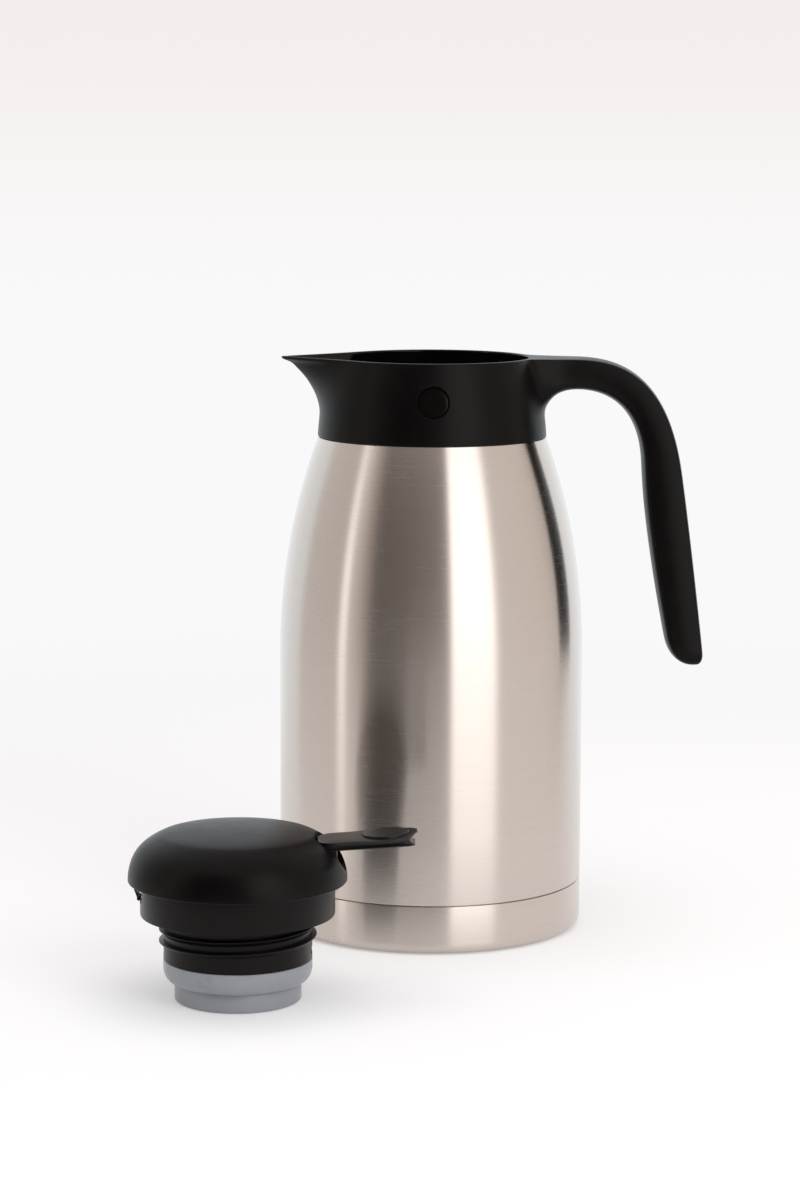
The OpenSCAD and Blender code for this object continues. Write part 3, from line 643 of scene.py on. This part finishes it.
dome = moved_to(dome, STOPPER_X, STOPPER_Y)
smooth(dome, 30)
print("dome:", len(dome.data.polygons), "faces")

# %% [markdown]
# The seal is one soft moulding of grey silicone. Its upper step hangs over the lower one with a rounded
# edge, and a fine groove runs between the two.

# %% Seal
seal_outline = [(16, 0.2), (24.2, 0)] + arc((24.4, 0.8), (0.8, 0.8), -80, 0, 5) + [(25.2, 7.0), (25.05, 7.3)]
seal_outline += [(25.0, 7.45)] + arc((25.3, 13.3), (4.3, 5.8), -88, 0, 10)
seal_outline += [(29.6, 16.35), (29.35, 16.6), (27.2, 16.6), (27.2, 12.9), (21.6, 12.9), (21.6, 1.4),
                 (16, 1.4)]
seal = moved_to(turned("seal_ring", seal_outline, sides=144), STOPPER_X, STOPPER_Y)
smooth(seal, 42)
print("seal:", len(seal.data.polygons), "faces")

# %% [markdown]
# ## The lever
# The lever's plate is one grid of faces. Its width follows a table of stations: a round root, straight
# sides and a wide round end. The end curls up by a millimetre, so that the thumb finds it. The grid gets
# its thickness from Solidify, and Bevel breaks its edges. Below it runs a narrower rib that stiffens it,
# with a hollow outside, a foot and a blunt end. All of this is made level, with the pin at the origin, and
# then tilted by four degrees and put in its place.

# %% Lever: outline
LEVER_TOP, LEVER_W, LEVER_END_R, LEVER_TIP = 7.75, 19.4, 12.3, 39.6
PAD_X = LEVER_TIP - LEVER_END_R
ROOT_X, ROOT_R, STRAIGHT_X, WIDENS_X, CURL_X, CURL_H = 0.3, 6, 7, 12, 31, 1.0
PLATE_T, PLATE_EDGE, EDGE_DROP = 1.0, 0.22, 0.35
PIN_X, PIN_Z, LEVER_TILT = 32, 57, -4


def lever_half(x):
    """Half the lever's width, in mm, at a distance from its pin."""
    half, from_root = LEVER_W / 2, x - ROOT_X
    if x > PAD_X:
        return math.sqrt(max(0, LEVER_END_R ** 2 - (x - PAD_X) ** 2))
    if from_root < ROOT_R:
        return half - ROOT_R + math.sqrt(max(0, ROOT_R ** 2 - (ROOT_R - from_root) ** 2))
    if x < WIDENS_X:
        return half
    share = (x - WIDENS_X) / (PAD_X - WIDENS_X)
    return half + (LEVER_END_R - half) * (1 - math.cos(math.pi * share)) / 2


def lever_stations():
    """Distances from the pin at which the lever's width is taken, close together where it is round."""
    root = [ROOT_X + ROOT_R * (1 - math.cos(math.radians(a))) for a in range(0, 90, 15)]
    middle = [STRAIGHT_X + (PAD_X - STRAIGHT_X) * i / 9 for i in range(10)]
    turns = (9, 18, 27, 36, 45, 54, 63, 71, 78, 84)
    tip = [PAD_X + LEVER_END_R * math.sin(math.radians(a)) for a in turns]
    return root + middle + tip


def curl(x):
    """How far the lever's end is turned up."""
    return CURL_H * max(0, (x - CURL_X) / (LEVER_TIP - CURL_X)) ** 2


tilt = (Matrix.Translation(Vector((STOPPER_X + PIN_X, STOPPER_Y, PIN_Z)) * MM)
        @ Matrix.Rotation(math.radians(LEVER_TILT), 4, "Y"))
print(len(lever_stations()), "stations")

# %% Lever: plate
across = [-1, -0.975, -0.85, -0.6, -0.3, 0, 0.3, 0.6, 0.85, 0.975, 1]
along = lever_stations()
bpy.ops.object.select_all(action="DESELECT")
bpy.ops.mesh.primitive_grid_add(x_subdivisions=len(along) - 1, y_subdivisions=len(across) - 1, size=MM)
plate = start_piece("lever_plate")
bpy.ops.object.mode_set(mode="OBJECT")
for number, v in enumerate(plate.data.vertices):
    x, share = along[number % len(along)], across[number // len(along)]
    v.co = Vector((x, share * lever_half(x), LEVER_TOP + curl(x) - EDGE_DROP * share ** 6)) * MM
add_modifier(plate, "SOLIDIFY", thickness=PLATE_T * MM, offset=-1)
add_modifier(plate, "BEVEL", width=PLATE_EDGE * MM, segments=2, limit_method="ANGLE",
             angle_limit=math.radians(50))
PAD_SEAT_R, PAD_SEAT_Z = 9.55, LEVER_TOP - 0.75
recess = turned("cutter", [(0, PAD_SEAT_Z), (PAD_SEAT_R, PAD_SEAT_Z), (PAD_SEAT_R, 12), (0, 12)], 72, False)
recess.data.transform(Matrix.Translation((PAD_X * MM, 0, 0)))
cut(plate, recess)
print("plate:", len(plate.data.polygons), "faces")


# %% Lever: rib, block, fork and hub
def slab(name, outline, low, high):
    """Fills an outline of (x, y) points in mm and extrudes it from one height to another."""
    bpy.ops.object.select_all(action="DESELECT")
    bpy.ops.mesh.primitive_circle_add(vertices=len(outline), radius=MM, fill_type="NGON")
    piece = start_piece(name)
    mesh = bmesh.from_edit_mesh(piece.data)
    mesh.verts.ensure_lookup_table()
    for v, (x, y) in zip(mesh.verts, outline):
        v.co = Vector((x, y, low)) * MM
    bmesh.update_edit_mesh(piece.data)
    bpy.ops.mesh.select_all(action="SELECT")
    bpy.ops.mesh.extrude_region_move(TRANSFORM_OT_translate={"value": (0, 0, (high - low) * MM)})
    bpy.ops.object.mode_set(mode="OBJECT")
    outward(piece)
    return piece


def rib_outline(inset, tip_inset):
    """The rib's outline, drawn in, as (x, y) points in mm: a long bar with a blunt, rounded end."""
    half, start, stop, corner = 6.9 - inset, 3.6 + inset, 38.5 - tip_inset, 2.4
    turns = [math.radians(a) for a in range(90, -1, -15)]
    tip = [(stop - corner + corner * math.cos(a), half - corner + corner * math.sin(a)) for a in turns]
    edge = [(start, half), (12, half), (20, half), (28, half)] + tip
    return edge + [(x, -y) for x, y in reversed(edge)]


# Height, and how far in from the sides and from the tip: down the hollow outside, round the foot and up
# again inside
rib_levels = [(7.0, 0.3, 0.9), (6.6, 0.35, 1.2), (6.0, 0.5, 1.7), (5.2, 0.6, 1.8), (4.6, 0.5, 1.4),
              (4.2, 0.25, 0.6), (3.95, 0.0, 0.1), (3.7, 0.0, 0.0), (3.5, 0.15, 0.1), (3.4, 0.5, 0.5),
              (3.4, 1.6, 2.0), (3.6, 1.9, 2.5), (4.6, 2.3, 3.2), (5.9, 2.5, 3.6), (6.2, 2.8, 4.0)]
outline = rib_outline(*rib_levels[0][1:])
bpy.ops.object.select_all(action="DESELECT")
bpy.ops.mesh.primitive_circle_add(vertices=len(outline), radius=MM, fill_type="NGON")
rib = start_piece("rib")
bpy.ops.mesh.select_all(action="SELECT")
for _ in rib_levels[1:]:
    bpy.ops.mesh.extrude_region_move()
bpy.ops.object.mode_set(mode="OBJECT")
for number, v in enumerate(rib.data.vertices):
    height, inset, tip_inset = rib_levels[number // len(outline)]
    x, y = rib_outline(inset, tip_inset)[number % len(outline)]
    v.co = Vector((x, y, height)) * MM
outward(rib)
block = slab("block", [(3.2, -6.5), (7.4, -6.5), (7.4, 6.5), (3.2, 6.5)], -1, 6.6)
lever_piece = joined("lever_arm", plate, rib, block)
lever_piece.data.transform(tilt)
stand_up = Matrix.Translation((STOPPER_X * MM, STOPPER_Y * MM, 0)) @ Matrix.Rotation(math.radians(90), 4, "X")
bridge = slab("bridge", [(7.5, 53.9), (20, 53.5), (31, 53.9), (31, 59.6), (20, 57.5), (7.5, 56.6)], -6.6, 6.6)
arm_end = arc((0, 55.5), (2, 2), 90, 270, 9)
arms = [slab("arm", arm_end + [(8.5, 53.8), (8.5, 56.7)], low, low + 3.2) for low in (-6.6, 3.4)]
hub = turned("hub", [(1.55, -9.5), (3.2, -9.5), (3.2, 9.5), (1.55, 9.5)], 48)
hub.data.transform(Matrix.Translation((PIN_X * MM, PIN_Z * MM, 0)))
for part in [bridge, hub] + arms:
    part.data.transform(stand_up)
lever_piece = joined("lever_arm", lever_piece, bridge, hub, *arms)
outward(lever_piece)
smooth(lever_piece, 32)
print("lever:", len(lever_piece.data.polygons), "faces")

# %% [markdown]
# A springy tongue of the dome reaches down to the window in the skirt. Its bead snaps in over the sill and
# holds the dome.

# %% Snap tongue
bead = arc((-38.95, 40.75), (0.75, 0.75), 150, 420, 9)
tongue_back = [(-42.0, 48.4), (-40.6, 44.0), (-39.75, 41.8)]
tongue_front = [(-39.2, 41.8), (-39.9, 44.0), (-41.2, 48.4)]
tongue = slab("tongue", tongue_back + bead + tongue_front, -3.5, 3.5)
tongue.data.transform(stand_up)
dome = joined("dome_shell", dome, tongue)
smooth(dome, 30)
print("dome with its tongue:", len(dome.data.polygons), "faces")

# %% Thumb pad
pad_outline = [(0, 7.1), (9.2, 7.1), (9.2, 8.2)] + arc((8.7, 8.2), (0.5, 0.4), 15, 80, 4)
pad_outline += [(6, 8.75), (3, 8.8), (0, 8.82)]
pad = turned("thumb_disc", pad_outline, 96, False)
pad.data.transform(tilt @ Matrix.Translation((PAD_X * MM, 0, 0)))
smooth(pad, 40)
print("pad:", len(pad.data.polygons), "faces")

# %% [markdown]
# ## The valve's spring
# Inside the stopper a steel spring presses the valve shut. A Screw modifier sweeps a small ring of points
# into a coil.

# %% Spring
bpy.ops.object.select_all(action="DESELECT")
WIRE_R, COIL_R, COILS, COIL_H, COIL_FOOT_Z = 0.45, 4.2, 5, 18.0, 11.1
bpy.ops.mesh.primitive_circle_add(vertices=8, radius=WIRE_R * MM, location=(COIL_R * MM, 0, 0),
                                  rotation=(math.pi / 2, 0, 0))
spring = start_piece("valve_coil")
bpy.ops.object.mode_set(mode="OBJECT")
add_modifier(spring, "SCREW", angle=math.radians(360 * COILS), screw_offset=COIL_H * MM, steps=140,
             render_steps=140, use_merge_vertices=False)
bpy.ops.object.mode_set(mode="EDIT")
bpy.ops.mesh.select_all(action="SELECT")
bpy.ops.mesh.fill_holes(sides=8)
bpy.ops.object.mode_set(mode="OBJECT")
outward(spring)
lowest = min(v.co.z for v in spring.data.vertices)
spring.data.transform(Matrix.Translation((STOPPER_X * MM, STOPPER_Y * MM, COIL_FOOT_Z * MM - lowest)))
smooth(spring, 60)
print("spring from", round(min(v.co.z for v in spring.data.vertices) / MM, 2), "to",
      round(max(v.co.z for v in spring.data.vertices) / MM, 2), "mm,", len(spring.data.polygons), "faces")

# %% [markdown]
# ## Finishes
# Each finish starts from the real material. Its colours are written as they look on a screen, and one
# function turns them into the linear values that the shader works with. One small function adds a node.

# %% Tools for finishes
def linear(code):
    """Turns an sRGB hex colour into linear RGBA."""
    channels = [int(code[i:i + 2], 16) / 255 for i in (1, 3, 5)]
    return tuple(c / 12.92 if c <= 0.04045 else ((c + 0.055) / 1.055) ** 2.4 for c in channels) + (1.0,)


def add_node(tree, kind, inputs=None, **properties):
    """Adds a node, sets its properties, and sets or links its inputs."""
    node = tree.nodes.new(kind)
    for key, value in properties.items():
        setattr(node, key, value)
    for key, value in (inputs or {}).items():
        if isinstance(value, bpy.types.NodeSocket):
            tree.links.new(value, node.inputs[key])
        else:
            node.inputs[key].default_value = value
    return node


def new_finish(name, **values):
    """A new material. Its shader's sockets are set by name, with underscores for spaces."""
    finish = bpy.data.materials.new(name)
    finish.use_nodes = True
    shader = finish.node_tree.nodes["Principled BSDF"]
    for key, value in values.items():
        shader.inputs[key.replace("_", " ")].default_value = value
    return finish, finish.node_tree, shader


NOISE_LOW, NOISE_HIGH = 0.3, 0.7  # most of a noise's values lie between these


def patterned(name, colours, roughness, pattern, relief=None, depth=0, **values):
    """A material whose colour and roughness follow a noise pattern, with a relief of a depth in mm. A pattern
    is the size of its grains along x, y and z in mm, its detail and its own roughness."""
    finish, tree, shader = new_finish(name, **values)
    place = add_node(tree, "ShaderNodeTexCoord").outputs["Object"]
    noises = []
    for grain, detail, rough in (pattern, relief or pattern):
        scale = [1 / (size * MM) for size in grain]
        scaled = add_node(tree, "ShaderNodeMapping", {"Vector": place, "Scale": scale}).outputs["Vector"]
        noise = add_node(tree, "ShaderNodeTexNoise", {
            "Vector": scaled, "Scale": 1.0, "Detail": detail, "Roughness": rough})
        noises.append(noise.outputs["Fac"])
    ranges = [add_node(tree, "ShaderNodeMapRange", {
        "Value": noises[0], "From Min": NOISE_LOW, "From Max": NOISE_HIGH, "To Min": low, "To Max": high})
        for low, high in ((0, 1), roughness)]
    mix = add_node(tree, "ShaderNodeMix", {0: ranges[0].outputs["Result"]}, data_type="RGBA")
    mix.inputs[6].default_value, mix.inputs[7].default_value = linear(colours[0]), linear(colours[1])
    tree.links.new(mix.outputs[2], shader.inputs["Base Color"])
    tree.links.new(ranges[1].outputs["Result"], shader.inputs["Roughness"])
    if depth:
        bump = add_node(tree, "ShaderNodeBump", {
            "Height": noises[1], "Strength": 1.0, "Distance": depth * MM})
        tree.links.new(bump.outputs["Normal"], shader.inputs["Normal"])
    return finish, tree, shader, noises[0], ranges[1]


print("helpers for finishes ready")

# %% [markdown]
# **Stainless steel, brushed round the body.** The body was turned against an abrasive belt, so it is
# covered with fine scratches that run round it. They spread every reflection up and down, but hardly
# sideways: that is why the studio shows as soft upright bands. The shader's anisotropy does this. Its
# tangent runs round the axis, and a quarter turn puts the wide side of the blur upright. The scratches are
# drawn from noise that is 0.3 mm high and 30 mm long, coarser than the real ones, which are too fine to
# show.

# %% Brushed stainless steel
SCRATCHES, LONG_MARKS = (30, 30, 0.3), (60, 60, 1.6)
brushed_steel, tree, shader, scratches, rough_range = patterned(
    "brushed_stainless_steel", ("#cfc5bd", "#d2c8c1"), (0.25, 0.28), (SCRATCHES, 2, 0.55), depth=0.0005,
    Metallic=1.0, Anisotropic=1.0, Anisotropic_Rotation=0.25)
# The roughness follows the scratches and, as much, some longer and broader marks of the belt
place = add_node(tree, "ShaderNodeTexCoord").outputs["Object"]
scaled = add_node(tree, "ShaderNodeMapping", {"Vector": place, "Scale": [1 / (g * MM) for g in LONG_MARKS]})
long_marks = add_node(tree, "ShaderNodeTexNoise", {"Vector": scaled.outputs["Vector"], "Scale": 1.0,
                                                   "Detail": 2, "Roughness": 0.5}).outputs["Fac"]
both = add_node(tree, "ShaderNodeMath", {0: scratches, 1: long_marks}, operation="ADD").outputs["Value"]
half = add_node(tree, "ShaderNodeMath", {0: both, 1: 0.5}, operation="MULTIPLY").outputs["Value"]
tree.links.new(half, rough_range.inputs["Value"])
tangent = add_node(tree, "ShaderNodeTangent", direction_type="RADIAL", axis="Z")
tree.links.new(tangent.outputs["Tangent"], shader.inputs["Tangent"])
print(brushed_steel.name)

# %% [markdown]
# **Stainless steel, electropolished.** The inside of the bottle is left as drawn and then polished in an
# acid bath, which rounds off every scratch. It is bright but not a mirror, with a faint orange peel.

# %% Polished steels
PEEL, DRAWN, GRAINS = ((2.5, 2.5, 2.5), 3, 0.5), ((0.4, 0.4, 0.4), 2, 0.5), ((0.3, 0.3, 0.3), 4, 0.6)
inner_steel = patterned("electropolished_stainless_steel", ("#cac6c1", "#d3d0cc"), (0.2, 0.28), PEEL,
                        depth=0.01, Metallic=1.0)[0]
wire_steel = patterned("drawn_spring_steel", ("#b9b8b6", "#cccbc9"), (0.22, 0.34), DRAWN, Metallic=1.0)[0]
getter_metal = patterned("sintered_getter_metal", ("#54514e", "#7a7672"), (0.5, 0.7), GRAINS, depth=0.02,
                         Metallic=0.8)[0]
print(inner_steel.name, wire_steel.name, getter_metal.name)

# %% [markdown]
# **Black plastics.** The collar, the handle and the dome are moulded in a mould whose steel was etched,
# which gives polypropylene a fine even grain: matt, with a soft grey sheen where it faces a light. The
# grain is about 0.25 mm across. The stopper's skirt, its stem and the lever come from a finer mould and are
# satin. The inside of the mouth and the side plugs come from a polished mould and are glossy.

# %% Black plastics
def black_plastic(name, dark, light, rough, shine, grain, depth):
    """Moulded black plastic: slightly cloudy in colour and sheen, with the mould's grain as relief."""
    return patterned(name, (dark, light), (rough - 0.03, rough + 0.03), ((14, 14, 14), 3, 0.6),
                     ((grain, grain, grain), 2, 0.5), depth, Specular_IOR_Level=shine,
                     Specular_Tint=(1, 0.93, 0.89, 1))[0]


matt_black = black_plastic("matt_moulded_polypropylene", "#070606", "#0b0a0a", rough=0.34, shine=0.11,
                           grain=0.25, depth=0.005)
satin_black = black_plastic("satin_moulded_polypropylene", "#090808", "#0d0c0c", rough=0.3, shine=0.14,
                            grain=0.3, depth=0.003)
# The lever and its pad get a lighter grey-black than the other plastics, with more shine
lever_black = black_plastic("lighter_satin_polypropylene", "#161616", "#1b1b1b", rough=0.34, shine=0.3,
                            grain=0.3, depth=0.004)
gloss_black = black_plastic("polished_moulded_abs", "#060505", "#090707", rough=0.1, shine=0.18,
                            grain=0.6, depth=0.0015)
inner_black = black_plastic("satin_moulded_valve_plastic", "#2a2a2a", "#303030", rough=0.4, shine=0.4,
                            grain=0.4, depth=0.004)
print("five black plastics")

# %% [markdown]
# **Silicone.** The seal is translucent grey silicone: light goes a few millimetres into it and comes out
# again, which softens its shadows, and its skin is between satin and matt.

# %% Silicone
silicone = patterned("translucent_moulded_silicone", ("#8f9198", "#94969c"), (0.27, 0.31),
                     ((9, 9, 9), 3, 0.6), ((0.5, 0.5, 0.5), 2, 0.5), 0.002, IOR=1.42, Subsurface_Weight=0.25,
                     Subsurface_Radius=(1.0, 1.0, 1.1), Subsurface_Scale=0.002)[0]
print(silicone.name)

# %% [markdown]
# ## Dressing the parts
# Each new piece gets its finish, rides on the body that carries it, and stands for the CAD parts it
# replaces. The hidden parts inside stay as CAD solids and get the same finishes.

# %% Finishes, bodies and replaced parts
plugs = [bpy.data.objects[name] for name in ("side_disc_front", "side_disc_back")]
dressing = [
    (shell, brushed_steel, "carafe", "brushed_steel", ["outer_shell", "shell_neck"]),
    (cup, brushed_steel, "carafe", "brushed_steel", ["base_cup"]),
    (vessel, inner_steel, "carafe", "inner_steel", ["vessel_bottom", "inner_vessel", "vessel_neck"]),
    (collar, matt_black, "carafe", "matt_black", ["collar", "handle", "handle_cover"]),
    (plugs[0], gloss_black, "carafe", "gloss_black", ["side_plug_front"]),
    (plugs[1], gloss_black, "carafe", "gloss_black", ["side_plug_back"]),
    (insert, gloss_black, "carafe", "gloss_black", ["neck_insert"]),
    (stopper, satin_black, "stopper", "satin_black", ["stopper_body"]),
    (dome, matt_black, "stopper", "matt_black", ["dome_cover"]),
    (seal, silicone, "stopper", "grey_silicone", ["stopper_gasket"]),
    (spring, wire_steel, "stopper", "pin_steel", ["valve_spring"]),
    (lever_piece, lever_black, "lever", "satin_black", ["lever"]),
    (pad, lever_black, "lever", "matt_black", ["thumb_pad"]),
]
for piece, finish, body, slot, stands_for in dressing:
    if not piece.data.materials:
        piece.data.materials.append(finish)
    piece.data.materials[0] = finish
    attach(piece, body)
    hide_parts(*stands_for)
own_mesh(spring)

# %% Glossy faces inside the collar
collar.data.materials[1] = gloss_black
print("the collar has", len(collar.data.materials), "finishes")

# %% Finishes of the parts inside
inside = {
    "vacuum_bottom": inner_steel, "vacuum_plug": getter_metal, "getter": getter_metal,
    "neck_gasket": silicone, "chamber_cover": inner_black, "gasket_carrier": inner_black,
    "stem_seal": silicone, "lever_pin": wire_steel, "valve_stem": inner_black, "valve_disc": inner_black,
    "valve_seal": silicone,
}
for node, finish in inside.items():
    part = frame["nodes"][node]
    if not part.material_slots:
        part.data.materials.append(finish)
    for material_slot in part.material_slots:
        material_slot.material = finish
print(len(inside), "parts inside dressed")

# %% [markdown]
# ## The studio
# The table is a white disc. Near the carafe it is mostly plain matt white and takes the shadows, with a
# third of the background's even white mixed in, which keeps them soft. Further out it fades into that even
# white altogether, so that no edge shows.

# %% Table
BACKDROP, BACKDROP_TOP = (0.955, 0.945, 0.948, 1), (0.9, 0.85, 0.84, 1)
TABLE_R, TABLE_Z, NEAR_R, FAR_R, LEAST_WHITE = 0.95, -0.0002, 0.35, 0.85, 0.35
bpy.ops.object.select_all(action="DESELECT")
bpy.ops.mesh.primitive_circle_add(vertices=128, radius=TABLE_R, fill_type="NGON", location=(0, 0, TABLE_Z))
table = start_piece("table")
bpy.ops.object.mode_set(mode="OBJECT")
paper, tree, shader = new_finish("white_table", Base_Color=(0.94, 0.93, 0.93, 1), Roughness=0.9,
                                 Specular_IOR_Level=0.0)
place = add_node(tree, "ShaderNodeTexCoord").outputs["Object"]
distance = add_node(tree, "ShaderNodeVectorMath", {0: place}, operation="LENGTH").outputs["Value"]
far = add_node(tree, "ShaderNodeMapRange", {
    "Value": distance, "From Min": NEAR_R, "From Max": FAR_R, "To Min": LEAST_WHITE},
    interpolation_type="SMOOTHSTEP").outputs["Result"]


def seen_ray(tree):
    """1 for rays from the camera, and for those that metal or glass sends on. 0 for the light itself."""
    rays = add_node(tree, "ShaderNodeLightPath").outputs
    pair = add_node(tree, "ShaderNodeMath", {0: rays["Is Camera Ray"], 1: rays["Is Glossy Ray"]},
                    operation="ADD")
    return add_node(tree, "ShaderNodeMath", {0: pair.outputs["Value"], 1: rays["Is Transmission Ray"]},
                    operation="ADD", use_clamp=True).outputs["Value"]


share = add_node(tree, "ShaderNodeMath", {0: far, 1: seen_ray(tree)}, operation="MULTIPLY").outputs["Value"]
even_white = add_node(tree, "ShaderNodeEmission", {"Color": BACKDROP, "Strength": 1.0})
mixed = add_node(tree, "ShaderNodeMixShader", {0: share, 1: shader.outputs["BSDF"],
                                              2: even_white.outputs["Emission"]})
tree.links.new(mixed.outputs["Shader"], tree.nodes["Material Output"].inputs["Surface"])
table.data.materials.append(paper)

# %% [markdown]
# Polished and brushed metal shows the room, so the room is part of its look. A ring of tall panels stands
# round the table: a bright soft box at the right of the camera, a narrow strip light at its left, dark
# cloth behind the camera and pale walls elsewhere. The panels show in reflections only. They light nothing
# and the camera doesn't see them. Each stop is an angle from the camera's side, towards the handle, a
# brightness, and how warm the cloth is: the dark ones are brownish and the walls a little blue.

# %% Panels round the table
PANELS_NEAR, PANELS_R, PANELS_H, BRIGHTEST = 420, 2200, 2500, 2.2
WARM_LOSS = (0, 0.07, 0.12)  # share of red, green and blue that a warmth of 1 takes away
panels = turned("studio_panels", [(PANELS_NEAR, 0.3), (PANELS_R, 0.3), (PANELS_R, PANELS_H)], 180, False)
stops = [(-180, 0.95, -0.8), (-148, 1.0, -0.8), (-120, 0.92, -0.8), (-112, 0.72, 0.5), (-76, 0.68, 1),
         (-73.5, 0.75, 0.6), (-72, 1.7, 0.2), (-67.5, 1.7, 0.2), (-65.5, 0.7, 1), (-59, 0.6, 1),
         (-52, 0.34, 2), (-45, 0.11, 2), (-38, 0.1, 2), (-30, 0.12, 2), (-24, 0.12, 2), (-17, 0.12, 2),
         (-9, 0.15, 2), (0, 0.17, 1.5), (9, 0.26, 1), (13, 0.5, 1), (16, 2.2, 0), (46, 2.2, 0),
         (50, 1.1, 0.3), (54, 0.88, 0.8), (96, 0.85, 1), (108, 0.76, 1), (128, 0.98, -0.8),
         (150, 1.05, -0.8), (180, 0.95, -0.8)]
cloth, tree, _ = new_finish("studio_panel_cloth")
place = add_node(tree, "ShaderNodeTexCoord").outputs["Object"]
parts = add_node(tree, "ShaderNodeSeparateXYZ", {"Vector": place}).outputs
back = add_node(tree, "ShaderNodeMath", {0: parts["Y"], 1: -1.0}, operation="MULTIPLY").outputs["Value"]
angle = add_node(tree, "ShaderNodeMath", {0: parts["X"], 1: back}, operation="ARCTAN2").outputs["Value"]
share = add_node(tree, "ShaderNodeMapRange", {"Value": angle, "From Min": -math.pi, "From Max": math.pi})
ramp = add_node(tree, "ShaderNodeValToRGB", {"Fac": share.outputs["Result"]})
elements = ramp.color_ramp.elements
for degrees, tone, warmth in stops[1:-1]:
    elements.new((degrees + 180) / 360)
for element, (degrees, tone, warmth) in zip(elements, stops):
    element.position = (degrees + 180) / 360
    level = tone / BRIGHTEST
    element.color = [level * (1 - loss * warmth) for loss in WARM_LOSS] + [1]
glow = add_node(tree, "ShaderNodeEmission", {"Color": ramp.outputs["Color"], "Strength": BRIGHTEST})
tree.links.new(glow.outputs["Emission"], tree.nodes["Material Output"].inputs["Surface"])
panels.data.materials.append(cloth)
panels.visible_camera = panels.visible_diffuse = panels.visible_shadow = False
print(len(stops), "stops of brightness")

# %% [markdown]
# The light itself is even: the world gives the fill, a large lamp hangs over the table, and a soft one
# stands at the right of the camera, where the bright panel is. Their sum lights a white sheet to just about
# white.

# %% World and lamps
FILL_COLOUR, FILL_STRENGTH, WALL_LOW, WALL_HIGH = (1, 0.99, 0.985, 1), 0.62, -0.06, 0.035
world = bpy.data.worlds.new("studio")
bpy.context.scene.world = world
world.use_nodes = True
tree = world.node_tree
fill = tree.nodes["Background"]
fill.inputs["Color"].default_value = FILL_COLOUR
fill.inputs["Strength"].default_value = FILL_STRENGTH
# The wall behind gets a little darker and warmer towards the top of the picture
direction = add_node(tree, "ShaderNodeTexCoord").outputs["Generated"]
ray = add_node(tree, "ShaderNodeSeparateXYZ", {"Vector": direction})
rise = add_node(tree, "ShaderNodeMapRange", {
    "Value": ray.outputs["Z"], "From Min": WALL_LOW, "From Max": WALL_HIGH}, interpolation_type="SMOOTHSTEP")
wall = add_node(tree, "ShaderNodeMix", {"Factor": rise.outputs["Result"]}, data_type="RGBA")
wall.inputs[6].default_value, wall.inputs[7].default_value = BACKDROP, BACKDROP_TOP
seen = add_node(tree, "ShaderNodeBackground", {"Color": wall.outputs[2], "Strength": 1.0})
mixed = add_node(tree, "ShaderNodeMixShader", {0: seen_ray(tree), 1: fill.outputs["Background"],
                                              2: seen.outputs["Background"]})
tree.links.new(mixed.outputs["Shader"], tree.nodes["World Output"].inputs["Surface"])


def soft_lamp(name, place, target, size, power):
    """A square area lamp that points at a target. It doesn't show in reflections, as the panels do that."""
    data = bpy.data.lights.new(name, "AREA")
    data.shape, data.size, data.energy = "SQUARE", size, power
    lamp = bpy.data.objects.new(name, data)
    lamp.location = place
    lamp.rotation_euler = (Vector(target) - Vector(place)).to_track_quat("-Z", "Y").to_euler()
    lamp.visible_glossy = False
    bpy.context.scene.collection.objects.link(lamp)


soft_lamp("overhead", place=(0.1, -0.2, 1.6), target=(0, 0, 0), size=1.6, power=13)
soft_lamp("key", place=(0.95, -1.3, 0.95), target=(0, 0, 0.1), size=0.9, power=9)
bpy.context.scene.view_settings.view_transform = "Standard"
